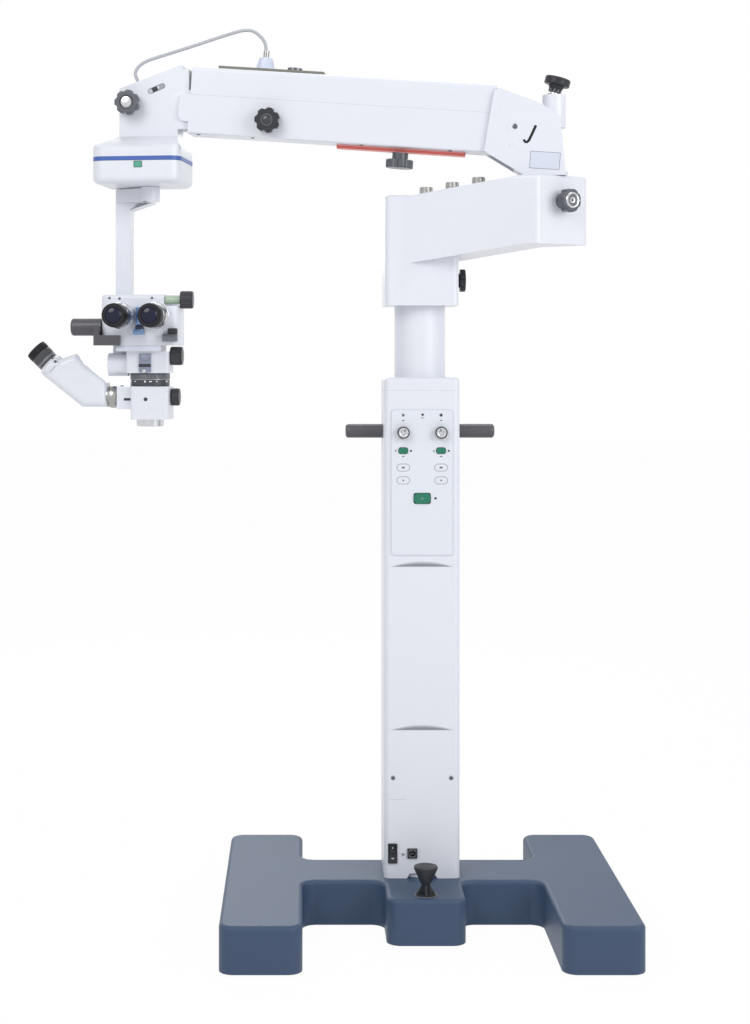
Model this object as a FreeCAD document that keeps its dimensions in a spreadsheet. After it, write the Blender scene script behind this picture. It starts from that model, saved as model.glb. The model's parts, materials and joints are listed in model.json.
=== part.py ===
import FreeCAD, Part
import math
import os
import Sketcher

# Surgical microscope on a floor stand, in millimetres.
# The origin is on the floor, on the column's axis. X points right, Y away from the viewer, Z up.
# The pose drawn is the one in use: the balanced arm to the left, the microscope at its end.

# Driving sizes: name, value, what it is
SIZES = [
    ("base_clearance", 4, "gap between base shell and floor"),
    ("base_height", 90, "height of the base shell"),
    ("base_half", 400, "half of the base's width"),
    ("leg_width", 157, "width of one leg of the base"),
    ("leg_front", 388, "leg's reach in front of the column axis"),
    ("leg_back", 267, "leg's reach behind the column axis"),
    ("bar_front", 90, "cross bar's reach in front of the axis"),
    ("bar_back", 68, "cross bar's reach behind the axis"),
    ("tongue_half", 78, "half width of the front tongue"),
    ("tongue_front", 222, "front tongue's reach"),
    ("base_corner", 28, "corner radius of the base in plan"),
    ("base_edge", 9, "radius of the base's top edge"),
    ("base_wall", 9, "wall of the base casting"),
    ("well_length", 150, "length of a caster well"),
    ("bar_pocket_start", 92, "hollow of the cross bar, from the axis"),
    ("foot_radius", 24, "radius of a rubber foot"),
    ("foot_row", 60, "feet in front of and behind the leg's middle"),
    ("pedal_setback", 187, "brake pedal in front of the column axis"),
    ("pedal_radius", 23.5, "radius of the pedal's top"),
    ("pedal_rise", 57, "height of the pedal over the base"),
    ("pedal_top", 5, "thickness of the pedal's top disc"),
    ("pedal_neck", 8.5, "radius of the pedal's neck"),
    ("pedal_neck_up", 20, "height of that neck over the base"),
    ("pedal_flange", 19, "radius of the flange that guides the pedal"),
    ("pedal_flange_up", 3, "flange over the top of the base"),
    ("pedal_guide", 16, "flange below the top of the base"),
    ("pedal_rib", 4, "thickness of the ribs under the neck"),
    ("pedal_well", 34, "half width of the well under the pedal"),
    ("caster_inset", 58, "caster axis from the end of the leg"),
    ("wheel_radius", 25, "caster wheel"),
    ("wheel_width", 22, "caster wheel"),
    ("caster_trail", 18, "wheel axle behind the swivel axis"),
    ("axle_radius", 4, "caster axle"),
    ("fork_plate", 4, "thickness of the caster fork"),
    ("fork_gap", 1, "room between wheel and fork"),
    ("stem_radius", 6, "caster stem"),
    ("stem_boss", 15, "radius of the boss round a caster stem"),
    ("stem_length", 18, "caster stem in its boss"),
    ("running", 0.05, "radial clearance of a shaft that turns"),
    ("gap", 0.3, "clearance between neighbouring moving pieces"),
    ("column_width", 154, "column shell, left to right"),
    ("column_depth", 150, "column shell, front to back"),
    ("column_height", 991, "column shell from the base to its cap"),
    ("column_wall", 3, "sheet of the column shell"),
    ("column_corner", 12, "corner radius of the column"),
    ("cap_height", 27, "cap on the column"),
    ("cap_edge", 9, "radius of the cap's top edge"),
    ("arch_half", 31, "half width of the arch at the column's foot"),
    ("arch_height", 10, "height of that arch"),
    ("scoop_half", 67, "half width of a moulded scoop"),
    ("scoop_drop", 20, "upper scoop below the control panel"),
    ("scoop_low", 304, "lower scoop over the base"),
    ("scoop_rise", 12, "height of a scoop"),
    ("scoop_depth", 2, "depth of a scoop"),
    ("tube_radius", 52.5, "steel tube of the stand"),
    ("tube_wall", 6, "wall of that tube"),
    ("tube_bare", 146, "bare tube between column cap and head"),
    ("tube_in_head", 182, "tube inside the head"),
    ("flange_radius", 70, "flange at the foot of the tube"),
    ("flange_height", 12, "thickness of that flange"),
    ("panel_half", 63.5, "half width of the control panel"),
    ("panel_height", 297, "height of the control panel"),
    ("panel_drop", 38, "panel's upper edge below the column's top"),
    ("panel_thick", 2, "control panel stands proud of the column"),
    ("panel_corner", 8, "corner radius of the control panel"),
    ("control_across", 38.4, "dials and rockers from the middle"),
    ("dial_height", 250, "dials over the panel's lower edge"),
    ("dial_radius", 12.5, "control dial"),
    ("dial_depth", 13, "control dial"),
    ("dial_shaft", 3, "radius of a dial's shaft"),
    ("rocker_height", 213, "rockers over the panel's lower edge"),
    ("rocker_width", 18.5, "rocker switch"),
    ("rocker_tall", 12, "rocker switch"),
    ("rocker_half_depth", 3.5, "rocker in front of and behind its axis"),
    ("main_height", 116, "main switch over the panel's lower edge"),
    ("main_width", 33, "main switch"),
    ("main_tall", 20.5, "main switch"),
    ("switch_room", 0.9, "room round a rocker on each side"),
    ("switch_corner", 5, "corner radius of a rocker"),
    ("grip_drop", 85, "side grips below the column's top"),
    ("grip_length", 77, "side grip"),
    ("grip_root", 14.5, "side grip's radius at the column"),
    ("grip_tip", 13, "side grip's radius at its end"),
    ("inlet_across", 60, "switch module left of the middle"),
    ("inlet_height", 51, "switch module over the base"),
    ("inlet_half", 9.5, "half width of the switch module"),
    ("inlet_tall", 40, "switch module"),
    ("inlet_proud", 3, "switch module in front of the column"),
    ("inlet_rocker_up", 9, "mains rocker over the module's middle"),
    ("mains_width", 11, "mains rocker"),
    ("mains_tall", 15, "mains rocker"),
    ("socket_across", 20, "foot switch socket left of the middle"),
    ("socket_half", 10, "half width of the foot switch socket"),
    ("socket_bore", 6.5, "bore of the foot switch socket"),
    ("socket_deep", 9, "depth of that bore"),
    ("socket_body", 10, "socket's body behind the column's face"),
    ("head_yaw", -24.1, "turn of the head arm, in degrees"),
    ("head_cap_half", 75, "half width of the head's cap"),
    ("head_cap_height", 225, "height of the head's cap"),
    ("head_corner", 12, "corner radius of the head"),
    ("head_edge", 7, "edge radius of the head"),
    ("head_reach", 274, "column axis to arm swing axis"),
    ("head_nose", 72, "head arm beyond the arm swing axis"),
    ("head_front", 79, "head arm in front of its centre line"),
    ("head_back", 58, "head arm behind its centre line"),
    ("head_under", 85, "underside of the head arm at the cap"),
    ("head_rise", 35, "rise of the head arm along its slope"),
    ("head_level", 245, "where the head arm becomes level"),
    ("head_thick", 137, "thickness of the head arm"),
    ("facet_start", 277, "where the front corner's facet starts"),
    ("facet_end", 17, "facet's end behind the centre line"),
    ("screw_radius", 13.5, "head of a large cap screw"),
    ("screw_height", 22, "cap screw over the slope"),
    ("screw_sunk", 14, "cap screw in the head"),
    ("screw_start", 14, "first cap screw from the column axis"),
    ("screw_pitch", 57, "spacing of the cap screws"),
    ("screw_hex", 8, "radius of a cap screw's hexagon"),
    ("screw_hex_deep", 10, "depth of that hexagon"),
    ("head_knob_up", 53, "head lock knob over the head's underside"),
    ("lock_radius", 23.5, "lock knobs"),
    ("lock_depth", 19, "head lock knob"),
    ("lock_stem", 6, "radius of a lock knob's stem"),
    ("lock_stem_length", 20, "stem of a lock knob in its housing"),
    ("pivot_knob_up", 205, "pivot lock knob over the head's underside"),
    ("pivot_knob_depth", 35, "pivot lock knob"),
    ("spindle_radius", 20, "spindle of the arm bracket"),
    ("spindle_length", 85, "spindle in the head arm"),
    ("arm_yaw", -7.5, "turn of the balanced arm, in degrees"),
    ("arm_pitch", 4.5, "rise of the balanced arm, in degrees"),
    ("bracket_disc", 40.5, "turntable of the arm bracket"),
    ("bracket_disc_height", 10, "turntable of the arm bracket"),
    ("pivot_back", 70.6, "arm pivot to swing axis"),
    ("pivot_up", 98, "arm pivot over the bracket's foot"),
    ("cheek_half", 43, "half width across the bracket's cheeks"),
    ("cheek_plate", 6, "thickness of a cheek"),
    ("bracket_floor", 14, "floor of the bracket"),
    ("boss_radius", 24, "round boss on the bracket"),
    ("boss_top", 164, "top of that boss over the bracket's foot"),
    ("boss_right", 12, "boss to the right of the swing axis"),
    ("balance_tilt", 15, "tilt of the balance knob, in degrees"),
    ("balance_radius", 26, "balance knob"),
    ("balance_depth", 16, "balance knob's head"),
    ("balance_neck", 9, "balance knob's stem"),
    ("balance_stem", 20, "balance knob's stem over the boss"),
    ("balance_in_boss", 24, "balance knob's stem in the boss"),
    ("pin_radius", 10, "main pivot pins of the arm"),
    ("link_pin_radius", 5, "pins of the parallel link"),
    ("link_drop", 38, "parallel link under the arm's axis"),
    ("link_half", 6, "half thickness of the parallel link"),
    ("link_eye", 9, "radius of the parallel link's eyes"),
    ("arm_length", 665, "arm, pivot to pivot"),
    ("beam_half", 30, "half width of the arm's beam"),
    ("beam_radius", 25, "half height of the arm's beam"),
    ("beam_wall", 6, "wall of the arm's beam"),
    ("fork_half", 21, "half width of the beam's fork slot"),
    ("fork_deep", 40, "depth of that slot from the front pivot"),
    ("casing_half", 36, "half width of the arm's casing"),
    ("casing_top", 83, "casing over the arm's axis"),
    ("casing_bottom", 54, "casing below the arm's axis"),
    ("casing_seam", 25.5, "seam of the two covers over the axis"),
    ("casing_wall", 4, "top and bottom wall of the casing"),
    ("casing_edge", 8, "edge radius of the upper cover"),
    ("casing_lower_edge", 4, "edge radius of the lower cover"),
    ("casing_back", 37, "casing's right end from the rear pivot"),
    ("casing_front", 7.5, "casing's left end from the front pivot"),
    ("tab_reach", 14, "hinge tab beyond the front pivot"),
    ("tab_half", 30, "half height of the hinge tab"),
    ("plate_start", 387, "top plate from the rear pivot"),
    ("plate_length", 218, "top plate"),
    ("plate_thick", 5.5, "top plate"),
    ("plate_half", 27.5, "half width of the top plate"),
    ("boss_at", 512.5, "cable boss from the rear pivot"),
    ("boss_root", 20.5, "cable boss's radius at its foot"),
    ("boss_tip", 14, "cable boss's radius at its top"),
    ("boss_rise", 24, "cable boss"),
    ("clip_radius", 6, "steel sleeve on the cable boss"),
    ("clip_rise", 16, "steel sleeve on the cable boss"),
    ("stud_at", 451, "round metal cap from the rear pivot"),
    ("stud_radius", 15.5, "round metal cap on the top plate"),
    ("stud_rise", 7, "round metal cap on the top plate"),
    ("rail_start", 90, "red rail from the rear pivot"),
    ("rail_length", 263, "red rail"),
    ("rail_tall", 9.5, "red rail"),
    ("rail_half", 7, "half width of the red rail"),
    ("side_knob_at", 491.6, "side knob from the rear pivot"),
    ("side_knob_down", 19.6, "side knob below the arm's axis"),
    ("side_knob_radius", 25.5, "side knob"),
    ("side_knob_depth", 28, "side knob"),
    ("under_knob_at", 222, "lock knob under the arm, from the rear pivot"),
    ("under_knob_radius", 28, "lock knob under the arm"),
    ("under_knob_depth", 17, "lock knob under the arm"),
    ("under_neck", 16.5, "neck of that lock knob"),
    ("under_neck_length", 14, "neck of that lock knob"),
    ("knob_stem", 4, "radius of a hand knob's stem"),
    ("knob_stem_length", 5.5, "stem of a hand knob in the casing"),
    ("knuckle_half", 30, "half width of the front knuckle"),
    ("knuckle_top", 92, "knuckle's top over the front pivot"),
    ("knuckle_slope", 21, "fall of the knuckle's top, in degrees"),
    ("knuckle_left", 140, "knuckle's left side from the front pivot"),
    ("knuckle_left_top", 40, "height of its left edge over the pivot"),
    ("knuckle_right", 6, "knuckle's right side from the front pivot"),
    ("knuckle_notch", 15, "notch at the knuckle's upper right corner"),
    ("knuckle_notch_top", 77, "height of that notch over the pivot"),
    ("knuckle_under", 18, "relief under the arm's end"),
    ("knuckle_under_top", 45, "relief's depth below the pivot"),
    ("knuckle_neck", 59, "neck of the knuckle below the pivot"),
    ("recess_radius", 32.5, "round recess for the beam's fork"),
    ("tongue_side", 20.5, "half width of the knuckle's tongue"),
    ("flare_bottom", 85, "flare's end below the pivot"),
    ("skirt_bottom", 104.5, "lower edge of the knuckle's skirt"),
    ("table_left", 188, "cross table's left side from the pivot"),
    ("table_right", 4, "cross table's right side from the pivot"),
    ("table_half", 82, "half depth of the cross table"),
    ("table_corner", 26, "corner radius of the cross table"),
    ("band_height", 8.5, "blue band"),
    ("band_wall", 7, "width of the blue band's ring"),
    ("table_height", 46.5, "lower box of the cross table"),
    ("table_edge", 14, "lower edge radius of that box"),
    ("table_wall", 6, "wall of that box"),
    ("stage_half", 42, "half length of the cross slide"),
    ("stage_depth", 36, "half width of the cross slide"),
    ("stage_height", 17, "cross slide"),
    ("hole_along", 104.9, "cable hole from the front pivot"),
    ("hole_play", 1, "room round the cable in its hole"),
    ("hole_deep", 22, "cable hole"),
    ("hole_lean", 33, "lean of the cable hole, in degrees"),
    ("knuckle_knob_at", 118, "knuckle knob from the front pivot"),
    ("knuckle_knob_up", 8, "knuckle knob over the front pivot"),
    ("knuckle_knob_depth", 34, "knuckle knob"),
    ("slot_along", 67, "level window from the front pivot"),
    ("slot_up", 47, "level window over the front pivot"),
    ("slot_half", 19, "half length of the level window"),
    ("slot_tall", 13, "level window"),
    ("slot_deep", 5, "level window"),
    ("swing_left", 84, "carrier axis from the front pivot"),
    ("swing_back", 10.1, "carrier axis behind the arm's plane"),
    ("carrier_yaw", 3, "turn of the microscope, in degrees"),
    ("carrier_stem", 10, "radius of the carrier's stem"),
    ("carrier_stem_length", 30, "carrier's stem in the cross table"),
    ("carrier_boss", 20.5, "radius of the carrier's boss"),
    ("carrier_thick", 30, "carrier's arm at the boss"),
    ("carrier_drop", 16, "extra depth of the carrier at its bar"),
    ("bar_left", 77, "hanging bar's left side from the axis"),
    ("bar_width", 30, "hanging bar"),
    ("bar_start", 25, "hanging bar's front behind the axis"),
    ("bar_depth", 50, "hanging bar, front to back"),
    ("bar_length", 235, "hanging bar, down from the cross table"),
    ("focus_left", 84, "focus unit's left side from the axis"),
    ("focus_width", 66, "focus unit"),
    ("focus_front", 28, "focus unit's front behind the axis"),
    ("focus_depth", 47, "focus unit"),
    ("focus_height", 125, "focus unit"),
    ("rail_plate", 5.5, "slide plate between scope and focus unit"),
    ("rail_plate_half", 16, "half width of that slide plate"),
    ("axis_height", 496, "cross table to the objective's lower edge"),
    ("head_left", 93, "binocular housing's left side"),
    ("head_width", 163, "binocular housing"),
    ("head_low", 167, "binocular housing over the objective's edge"),
    ("head_tall", 105, "binocular housing"),
    ("head_face", 62, "binocular housing in front of the axis"),
    ("head_deep", 84, "binocular housing"),
    ("head_round", 18, "edge radius of the binocular housing"),
    ("notch_width", 32, "notch for the tilt shaft"),
    ("notch_tall", 24, "notch for the tilt shaft"),
    ("eye_middle", -11, "middle of the two eyepieces from the axis"),
    ("eye_half", 36, "half of the eyepieces' distance"),
    ("eye_up", 227, "eyepieces over the objective's edge"),
    ("eye_tube", 27, "radius of an eyepiece's prism tube"),
    ("eye_tube_length", 42, "prism tube"),
    ("eye_radius", 23.5, "eyepiece"),
    ("eye_length", 52, "eyepiece"),
    ("eye_cup", 12, "rubber eye cup"),
    ("eye_lens", 15, "radius of the eye lens's hollow"),
    ("eye_lens_deep", 7, "depth of the eye lens's hollow"),
    ("tilt_up", 260.5, "tilt knob over the objective's edge"),
    ("tilt_front", 44, "tilt knob in front of the axis"),
    ("tilt_radius", 17.5, "tilt knob"),
    ("tilt_length", 26, "tilt knob"),
    ("tilt_shaft", 8.5, "radius of the tilt knob's shaft"),
    ("slab_left", 60, "slab under the binocular housing"),
    ("slab_width", 90.5, "slab under the binocular housing"),
    ("slab_tall", 12, "slab under the binocular housing"),
    ("middle_left", 43, "middle body's left side"),
    ("middle_width", 89, "middle body"),
    ("middle_front", 46, "middle body in front of the axis"),
    ("lamp_radius", 24, "round lamp housing on the left"),
    ("lamp_left", 84, "lamp housing's left end"),
    ("lamp_up", 128, "lamp housing over the objective's edge"),
    ("lamp_back", 10, "lamp housing's axis in front of the optical axis"),
    ("ring_radius", 40.7, "zoom ring"),
    ("ring_low", 83, "zoom ring over the objective's edge"),
    ("ring_tall", 27, "zoom ring"),
    ("core_radius", 30, "optical core inside the zoom ring"),
    ("lower_left", 35, "lower body's left side"),
    ("lower_width", 79, "lower body"),
    ("lower_front", 40, "half depth of the lower body"),
    ("lower_low", 14.7, "lower body over the objective's edge"),
    ("box_left", 65, "splitter box's left side"),
    ("box_half", 28, "half depth of the splitter box"),
    ("box_low", 35.5, "splitter box over the objective's edge"),
    ("objective_radius", 28, "objective ring"),
    ("objective_bore", 23, "clear opening of the objective"),
    ("objective_deep", 5, "depth of that opening"),
    ("scope_grip_radius", 18, "grip's radius at the housing"),
    ("scope_grip_tip", 16, "grip's radius at its end"),
    ("scope_grip_length", 64, "grip"),
    ("scope_grip_up", 205, "grip over the objective's edge"),
    ("scope_grip_front", 40, "grip in front of the axis"),
    ("step_left", 105, "grip's clamp, left side"),
    ("step_width", 54, "grip's clamp"),
    ("step_tall", 21, "grip's clamp"),
    ("step_deep", 13, "grip's clamp in front of the housing"),
    ("mid_knob_up", 145.5, "magnification knob over the objective's edge"),
    ("mid_knob_front", 20, "magnification knob in front of the axis"),
    ("mid_knob_radius", 18.5, "magnification knob"),
    ("mid_knob_length", 25, "magnification knob"),
    ("low_knob_up", 60.5, "filter knob over the objective's edge"),
    ("low_knob_radius", 17.5, "filter knob"),
    ("low_knob_length", 18, "filter knob"),
    ("scope_knob_stem", 5, "radius of these knobs' stems"),
    ("scope_stem_length", 12, "these knobs' stems in the body"),
    ("joint_radius", 21, "assistant scope's coupling"),
    ("joint_length", 22, "assistant scope's coupling"),
    ("joint_up", 61, "coupling over the objective's edge"),
    ("assist_half", 29, "half thickness of the assistant tube"),
    ("assist_edge", 16, "edge radius of the assistant tube"),
    ("assist_collar", 25, "radius of the assistant eyepiece's collar"),
    ("assist_collar_length", 14, "assistant eyepiece's collar"),
    ("assist_eye_radius", 22.5, "assistant eyepiece"),
    ("assist_eye_length", 40, "assistant eyepiece"),
    ("cord_radius", 3.5, "cable from the arm to the knuckle"),
]

LOBES = 7
CUT_THROUGH = 400
SMALL = 1e-4


class Size:
    """A number that remembers the sheet expression it comes from."""

    def __init__(self, number, text):
        self.number = float(number)
        self.text = text

    def __add__(self, other):
        other = as_size(other)
        return Size(self.number + other.number, f"({self.text} + {other.text})")

    def __sub__(self, other):
        other = as_size(other)
        return Size(self.number - other.number, f"({self.text} - {other.text})")

    def __mul__(self, other):
        other = as_size(other)
        return Size(self.number * other.number, f"({self.text} * {other.text})")

    def __truediv__(self, other):
        other = as_size(other)
        return Size(self.number / other.number, f"({self.text} / {other.text})")

    def __neg__(self):
        return Size(-self.number, f"(0 - {self.text})")

    def __radd__(self, other):
        return as_size(other) + self

    def __rsub__(self, other):
        return as_size(other) - self

    def __rmul__(self, other):
        return as_size(other) * self


def as_size(value):
    return value if isinstance(value, Size) else Size(value, f"{value}")


def cosine(angle):
    angle = as_size(angle)
    return Size(math.cos(math.radians(angle.number)), f"cos({angle.text})")


def sine(angle):
    angle = as_size(angle)
    return Size(math.sin(math.radians(angle.number)), f"sin({angle.text})")


class Frame:
    """A place in the model: a placement and the expression that gives it."""

    def __init__(self, placement, text):
        self.placement = placement
        self.text = text

    def then(self, move, axis, angle):
        x, y, z = (as_size(part) for part in move)
        angle = as_size(angle)
        step = FreeCAD.Placement(
            FreeCAD.Vector(x.number, y.number, z.number),
            FreeCAD.Rotation(FreeCAD.Vector(*axis), angle.number),
        )
        direction = "vector({}; {}; {})".format(*axis)
        text = (
            f"placement(vector({x.text}; {y.text}; {z.text}); "
            f"rotation({direction}; {angle.text}))"
        )
        return Frame(self.placement * step, f"{self.text} * {text}" if self.text else text)

    def moved(self, x=0, y=0, z=0):
        return self.then((x, y, z), (0, 0, 1), 0)

    def turned(self, axis, angle):
        return self.then((0, 0, 0), {"X": (1, 0, 0), "Y": (0, 1, 0), "Z": (0, 0, 1)}[axis], angle)


doc = FreeCAD.newDocument("SurgicalMicroscope")
sheet = doc.addObject("Spreadsheet::Sheet", "Sizes")
for row, (name, value, note) in enumerate(SIZES, start=1):
    sheet.set(f"A{row}", name)
    sheet.set(f"B{row}", f"{value}")
    sheet.setAlias(f"B{row}", name)
    sheet.set(f"C{row}", note)
doc.recompute()


class Named:
    """The sheet's sizes by name."""


s = Named()
for name, value, note in SIZES:
    setattr(s, name, Size(value, f"Sizes.{name}"))

solids = []


def bind(thing, prop, value):
    """Sets a property to a size and ties it to the sheet."""
    thing.setExpression(prop, as_size(value).text)


def new_body(label, frame):
    body = doc.addObject("PartDesign::Body", label)
    body.Label = label
    body.AllowCompound = True
    body.Placement = frame.placement
    body.setExpression("Placement", frame.text)
    solids.append(body)
    return body


def rectangle(x_low, y_low, x_high, y_high):
    return ("polygon", [(x_low, y_low), (x_high, y_low), (x_high, y_high), (x_low, y_high)])


def cut_corners(x_low, y_low, x_high, y_high, corner):
    """A rectangle with its four corners cut off."""
    return ("polygon", [
        (x_low + corner, y_low),
        (x_high - corner, y_low),
        (x_high, y_low + corner),
        (x_high, y_high - corner),
        (x_high - corner, y_high),
        (x_low + corner, y_high),
        (x_low, y_high - corner),
        (x_low, y_low + corner),
    ])


def polygon(*points):
    return ("polygon", list(points))


def circle(x, y, radius):
    return ("circle", (x, y, radius))


def tie(sketch, kind, index, point, value):
    value = as_size(value)
    number = sketch.addConstraint(Sketcher.Constraint(kind, -1, 1, index, point, value.number))
    sketch.setExpression(f"Constraints[{number}]", value.text)


def draw_polygon(sketch, points):
    spots = [FreeCAD.Vector(as_size(x).number, as_size(y).number, 0) for x, y in points]
    first = sketch.GeometryCount
    for index, spot in enumerate(spots):
        sketch.addGeometry(Part.LineSegment(spot, spots[(index + 1) % len(spots)]))
    for index, (x, y) in enumerate(points):
        following = first + (index + 1) % len(points)
        sketch.addConstraint(Sketcher.Constraint("Coincident", first + index, 2, following, 1))
        tie(sketch, "DistanceX", first + index, 1, x)
        tie(sketch, "DistanceY", first + index, 1, y)


def draw_circle(sketch, x, y, radius):
    centre = FreeCAD.Vector(as_size(x).number, as_size(y).number, 0)
    size = as_size(radius)
    index = sketch.addGeometry(Part.Circle(centre, FreeCAD.Vector(0, 0, 1), size.number))
    tie(sketch, "DistanceX", index, 3, x)
    tie(sketch, "DistanceY", index, 3, y)
    number = sketch.addConstraint(Sketcher.Constraint("Radius", index, size.number))
    sketch.setExpression(f"Constraints[{number}]", size.text)


def new_sketch(body, plane, offset, outlines, turn=None):
    """A sketch on one of the body's own planes, at a distance along its normal."""
    sketch = body.newObject("Sketcher::SketchObject", f"{body.Label}_sketch")
    origin = [part for part in body.Origin.OriginFeatures if part.Role == f"{plane}_Plane"][0]
    sketch.AttachmentSupport = (origin, [""])
    sketch.MapMode = "FlatFace"
    bind(sketch, "AttachmentOffset.Base.z", offset)
    if turn is not None:
        bind(sketch, "AttachmentOffset.Rotation.Angle", turn)
    for kind, data in outlines:
        if kind == "polygon":
            draw_polygon(sketch, data)
        else:
            draw_circle(sketch, *data)
    return sketch


def add(body, plane, outlines, low, high, turn=None):
    """Adds what the outlines enclose, from low to high along the plane's axis."""
    offset = -as_size(high) if plane == "XZ" else low
    pad = body.newObject("PartDesign::Pad", f"{body.Label}_pad")
    pad.Profile = new_sketch(body, plane, offset, outlines, turn)
    bind(pad, "Length", as_size(high) - low)
    return pad


def cut(body, plane, outlines, low, high, turn=None):
    """Removes what the outlines enclose, from low to high along the plane's axis."""
    offset = -as_size(low) if plane == "XZ" else high
    pocket = body.newObject("PartDesign::Pocket", f"{body.Label}_pocket")
    pocket.Profile = new_sketch(body, plane, offset, outlines, turn)
    bind(pocket, "Length", as_size(high) - low)
    return pocket


def bore(body, place, radius, depth):
    """A round hole along the Z axis of a frame given in the body's own coordinates."""
    tool = body.newObject("PartDesign::SubtractiveCylinder", f"{body.Label}_bore")
    origin = [part for part in body.Origin.OriginFeatures if part.Role == "XY_Plane"][0]
    tool.AttachmentSupport = (origin, [""])
    tool.MapMode = "FlatFace"
    tool.AttachmentOffset = place.placement
    tool.setExpression("AttachmentOffset", place.text)
    bind(tool, "Radius", radius)
    bind(tool, "Height", depth)
    return tool


def revolve(body, points):
    """A solid of revolution about the body's Z axis from (radius, height) points."""
    turned = body.newObject("PartDesign::Revolution", f"{body.Label}_turned")
    sketch = new_sketch(body, "XZ", 0, [polygon(*points)])
    turned.Profile = sketch
    turned.ReferenceAxis = (sketch, ["V_Axis"])
    turned.Angle = 360
    return turned


def repeat(body, feature, count):
    """Repeats a feature round the body's Z axis."""
    pattern = body.newObject("PartDesign::PolarPattern", f"{body.Label}_pattern")
    pattern.Originals = [feature]
    pattern.Axis = (feature.Profile[0], ["N_Axis"])
    pattern.Angle = 360
    pattern.Occurrences = count
    body.Tip = pattern
    return pattern


def upright(edge):
    box = edge.BoundBox
    return box.XLength < SMALL and box.YLength < SMALL


def crosswise(edge):
    box = edge.BoundBox
    return box.XLength < SMALL and box.ZLength < SMALL


def level_at(height):
    number = as_size(height).number

    def test(edge):
        return abs(edge.BoundBox.ZMin - number) < SMALL and abs(edge.BoundBox.ZMax - number) < SMALL

    return test


def face_at(depth):
    number = as_size(depth).number

    def test(edge):
        return abs(edge.BoundBox.YMin - number) < SMALL and abs(edge.BoundBox.YMax - number) < SMALL

    return test


def side_at(place):
    number = as_size(place).number

    def test(edge):
        return abs(edge.BoundBox.XMin - number) < SMALL and abs(edge.BoundBox.XMax - number) < SMALL

    return test


def round_edges(body, radius, test, kind="Fillet"):
    """Rounds or bevels the edges of the body's last feature that the test picks."""
    doc.recompute()
    base = body.Tip
    edges = [f"Edge{number}" for number, edge in enumerate(base.Shape.Edges, start=1) if test(edge)]
    rounding = body.newObject(f"PartDesign::{kind}", f"{body.Label}_edges")
    rounding.Base = (base, edges)
    bind(rounding, "Radius" if kind == "Fillet" else "Size", radius)
    return rounding


def lobed_knob(label, frame, radius, depth, stem, stem_length, lobes=LOBES):
    """A hand knob with scalloped sides; its stem runs back from the seat at height 0."""
    body = new_body(label, frame)
    add(body, "XY", [circle(0, 0, stem)], -as_size(stem_length), s.gap)
    add(body, "XY", [circle(0, 0, radius * 0.62)], s.gap, depth * 0.45)
    add(body, "XY", [circle(0, 0, radius)], depth * 0.42, depth)
    round_edges(body, depth * 0.12, level_at(depth))
    scallop = cut(body, "XY", [circle(radius * 1.12, 0, radius * 0.27)], depth * 0.4, depth * 1.05)
    repeat(body, scallop, lobes)
    return body


def round_knob(label, frame, radius, depth, stem, stem_length):
    """A plain turned knob with flutes; its stem runs back from the seat at height 0."""
    body = new_body(label, frame)
    add(body, "XY", [circle(0, 0, stem)], -as_size(stem_length), s.gap)
    add(body, "XY", [circle(0, 0, radius)], s.gap, depth)
    round_edges(body, radius * 0.1, level_at(depth))
    return body


# Frames of the moving groups, from the floor up
base_top = s.base_clearance + s.base_height
column_top = base_top + s.column_height
cap_top = column_top + s.cap_height
head_low = cap_top + s.tube_bare
front_face = -s.column_depth / 2
panel_face = front_face - s.panel_thick
panel_low = s.column_height - s.panel_drop - s.panel_height
scoop_high = panel_low - s.scoop_drop
grip_height = s.column_height - s.grip_drop

WORLD = Frame(FreeCAD.Placement(), "").moved()
STAND = WORLD.moved(z=base_top)
PANEL = STAND.moved(y=front_face, z=panel_low)
HEAD = WORLD.moved(z=head_low).turned("Z", s.head_yaw)
head_arm_top = s.head_under + s.head_rise + s.head_thick
BRACKET = HEAD.moved(s.head_reach, 0, head_arm_top + s.gap).turned("Z", s.arm_yaw - s.head_yaw)
ARM = BRACKET.moved(-s.pivot_back, 0, s.pivot_up).turned("Y", s.arm_pitch)
LINK = BRACKET.moved(-s.pivot_back, 0, s.pivot_up - s.link_drop).turned("Y", s.arm_pitch)
KNUCKLE = ARM.moved(-s.arm_length).turned("Y", -s.arm_pitch)
table_low = -s.skirt_bottom - s.band_height - s.gap - s.table_height
CARRIER = KNUCKLE.moved(-s.swing_left, s.swing_back, table_low).turned("Z", s.carrier_yaw)
SCOPE = CARRIER.moved(z=-s.axis_height)


# Base and casters

leg_inner = s.base_half - s.leg_width
leg_middle = s.base_half - s.leg_width / 2
CASTERS = [
    ("front_left", -1, s.caster_inset - s.leg_front),
    ("front_right", 1, s.caster_inset - s.leg_front),
    ("back_left", -1, s.leg_back - s.caster_inset),
    ("back_right", 1, s.leg_back - s.caster_inset),
]
fork_top = s.wheel_radius * 2 + s.fork_gap + s.fork_plate


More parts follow.
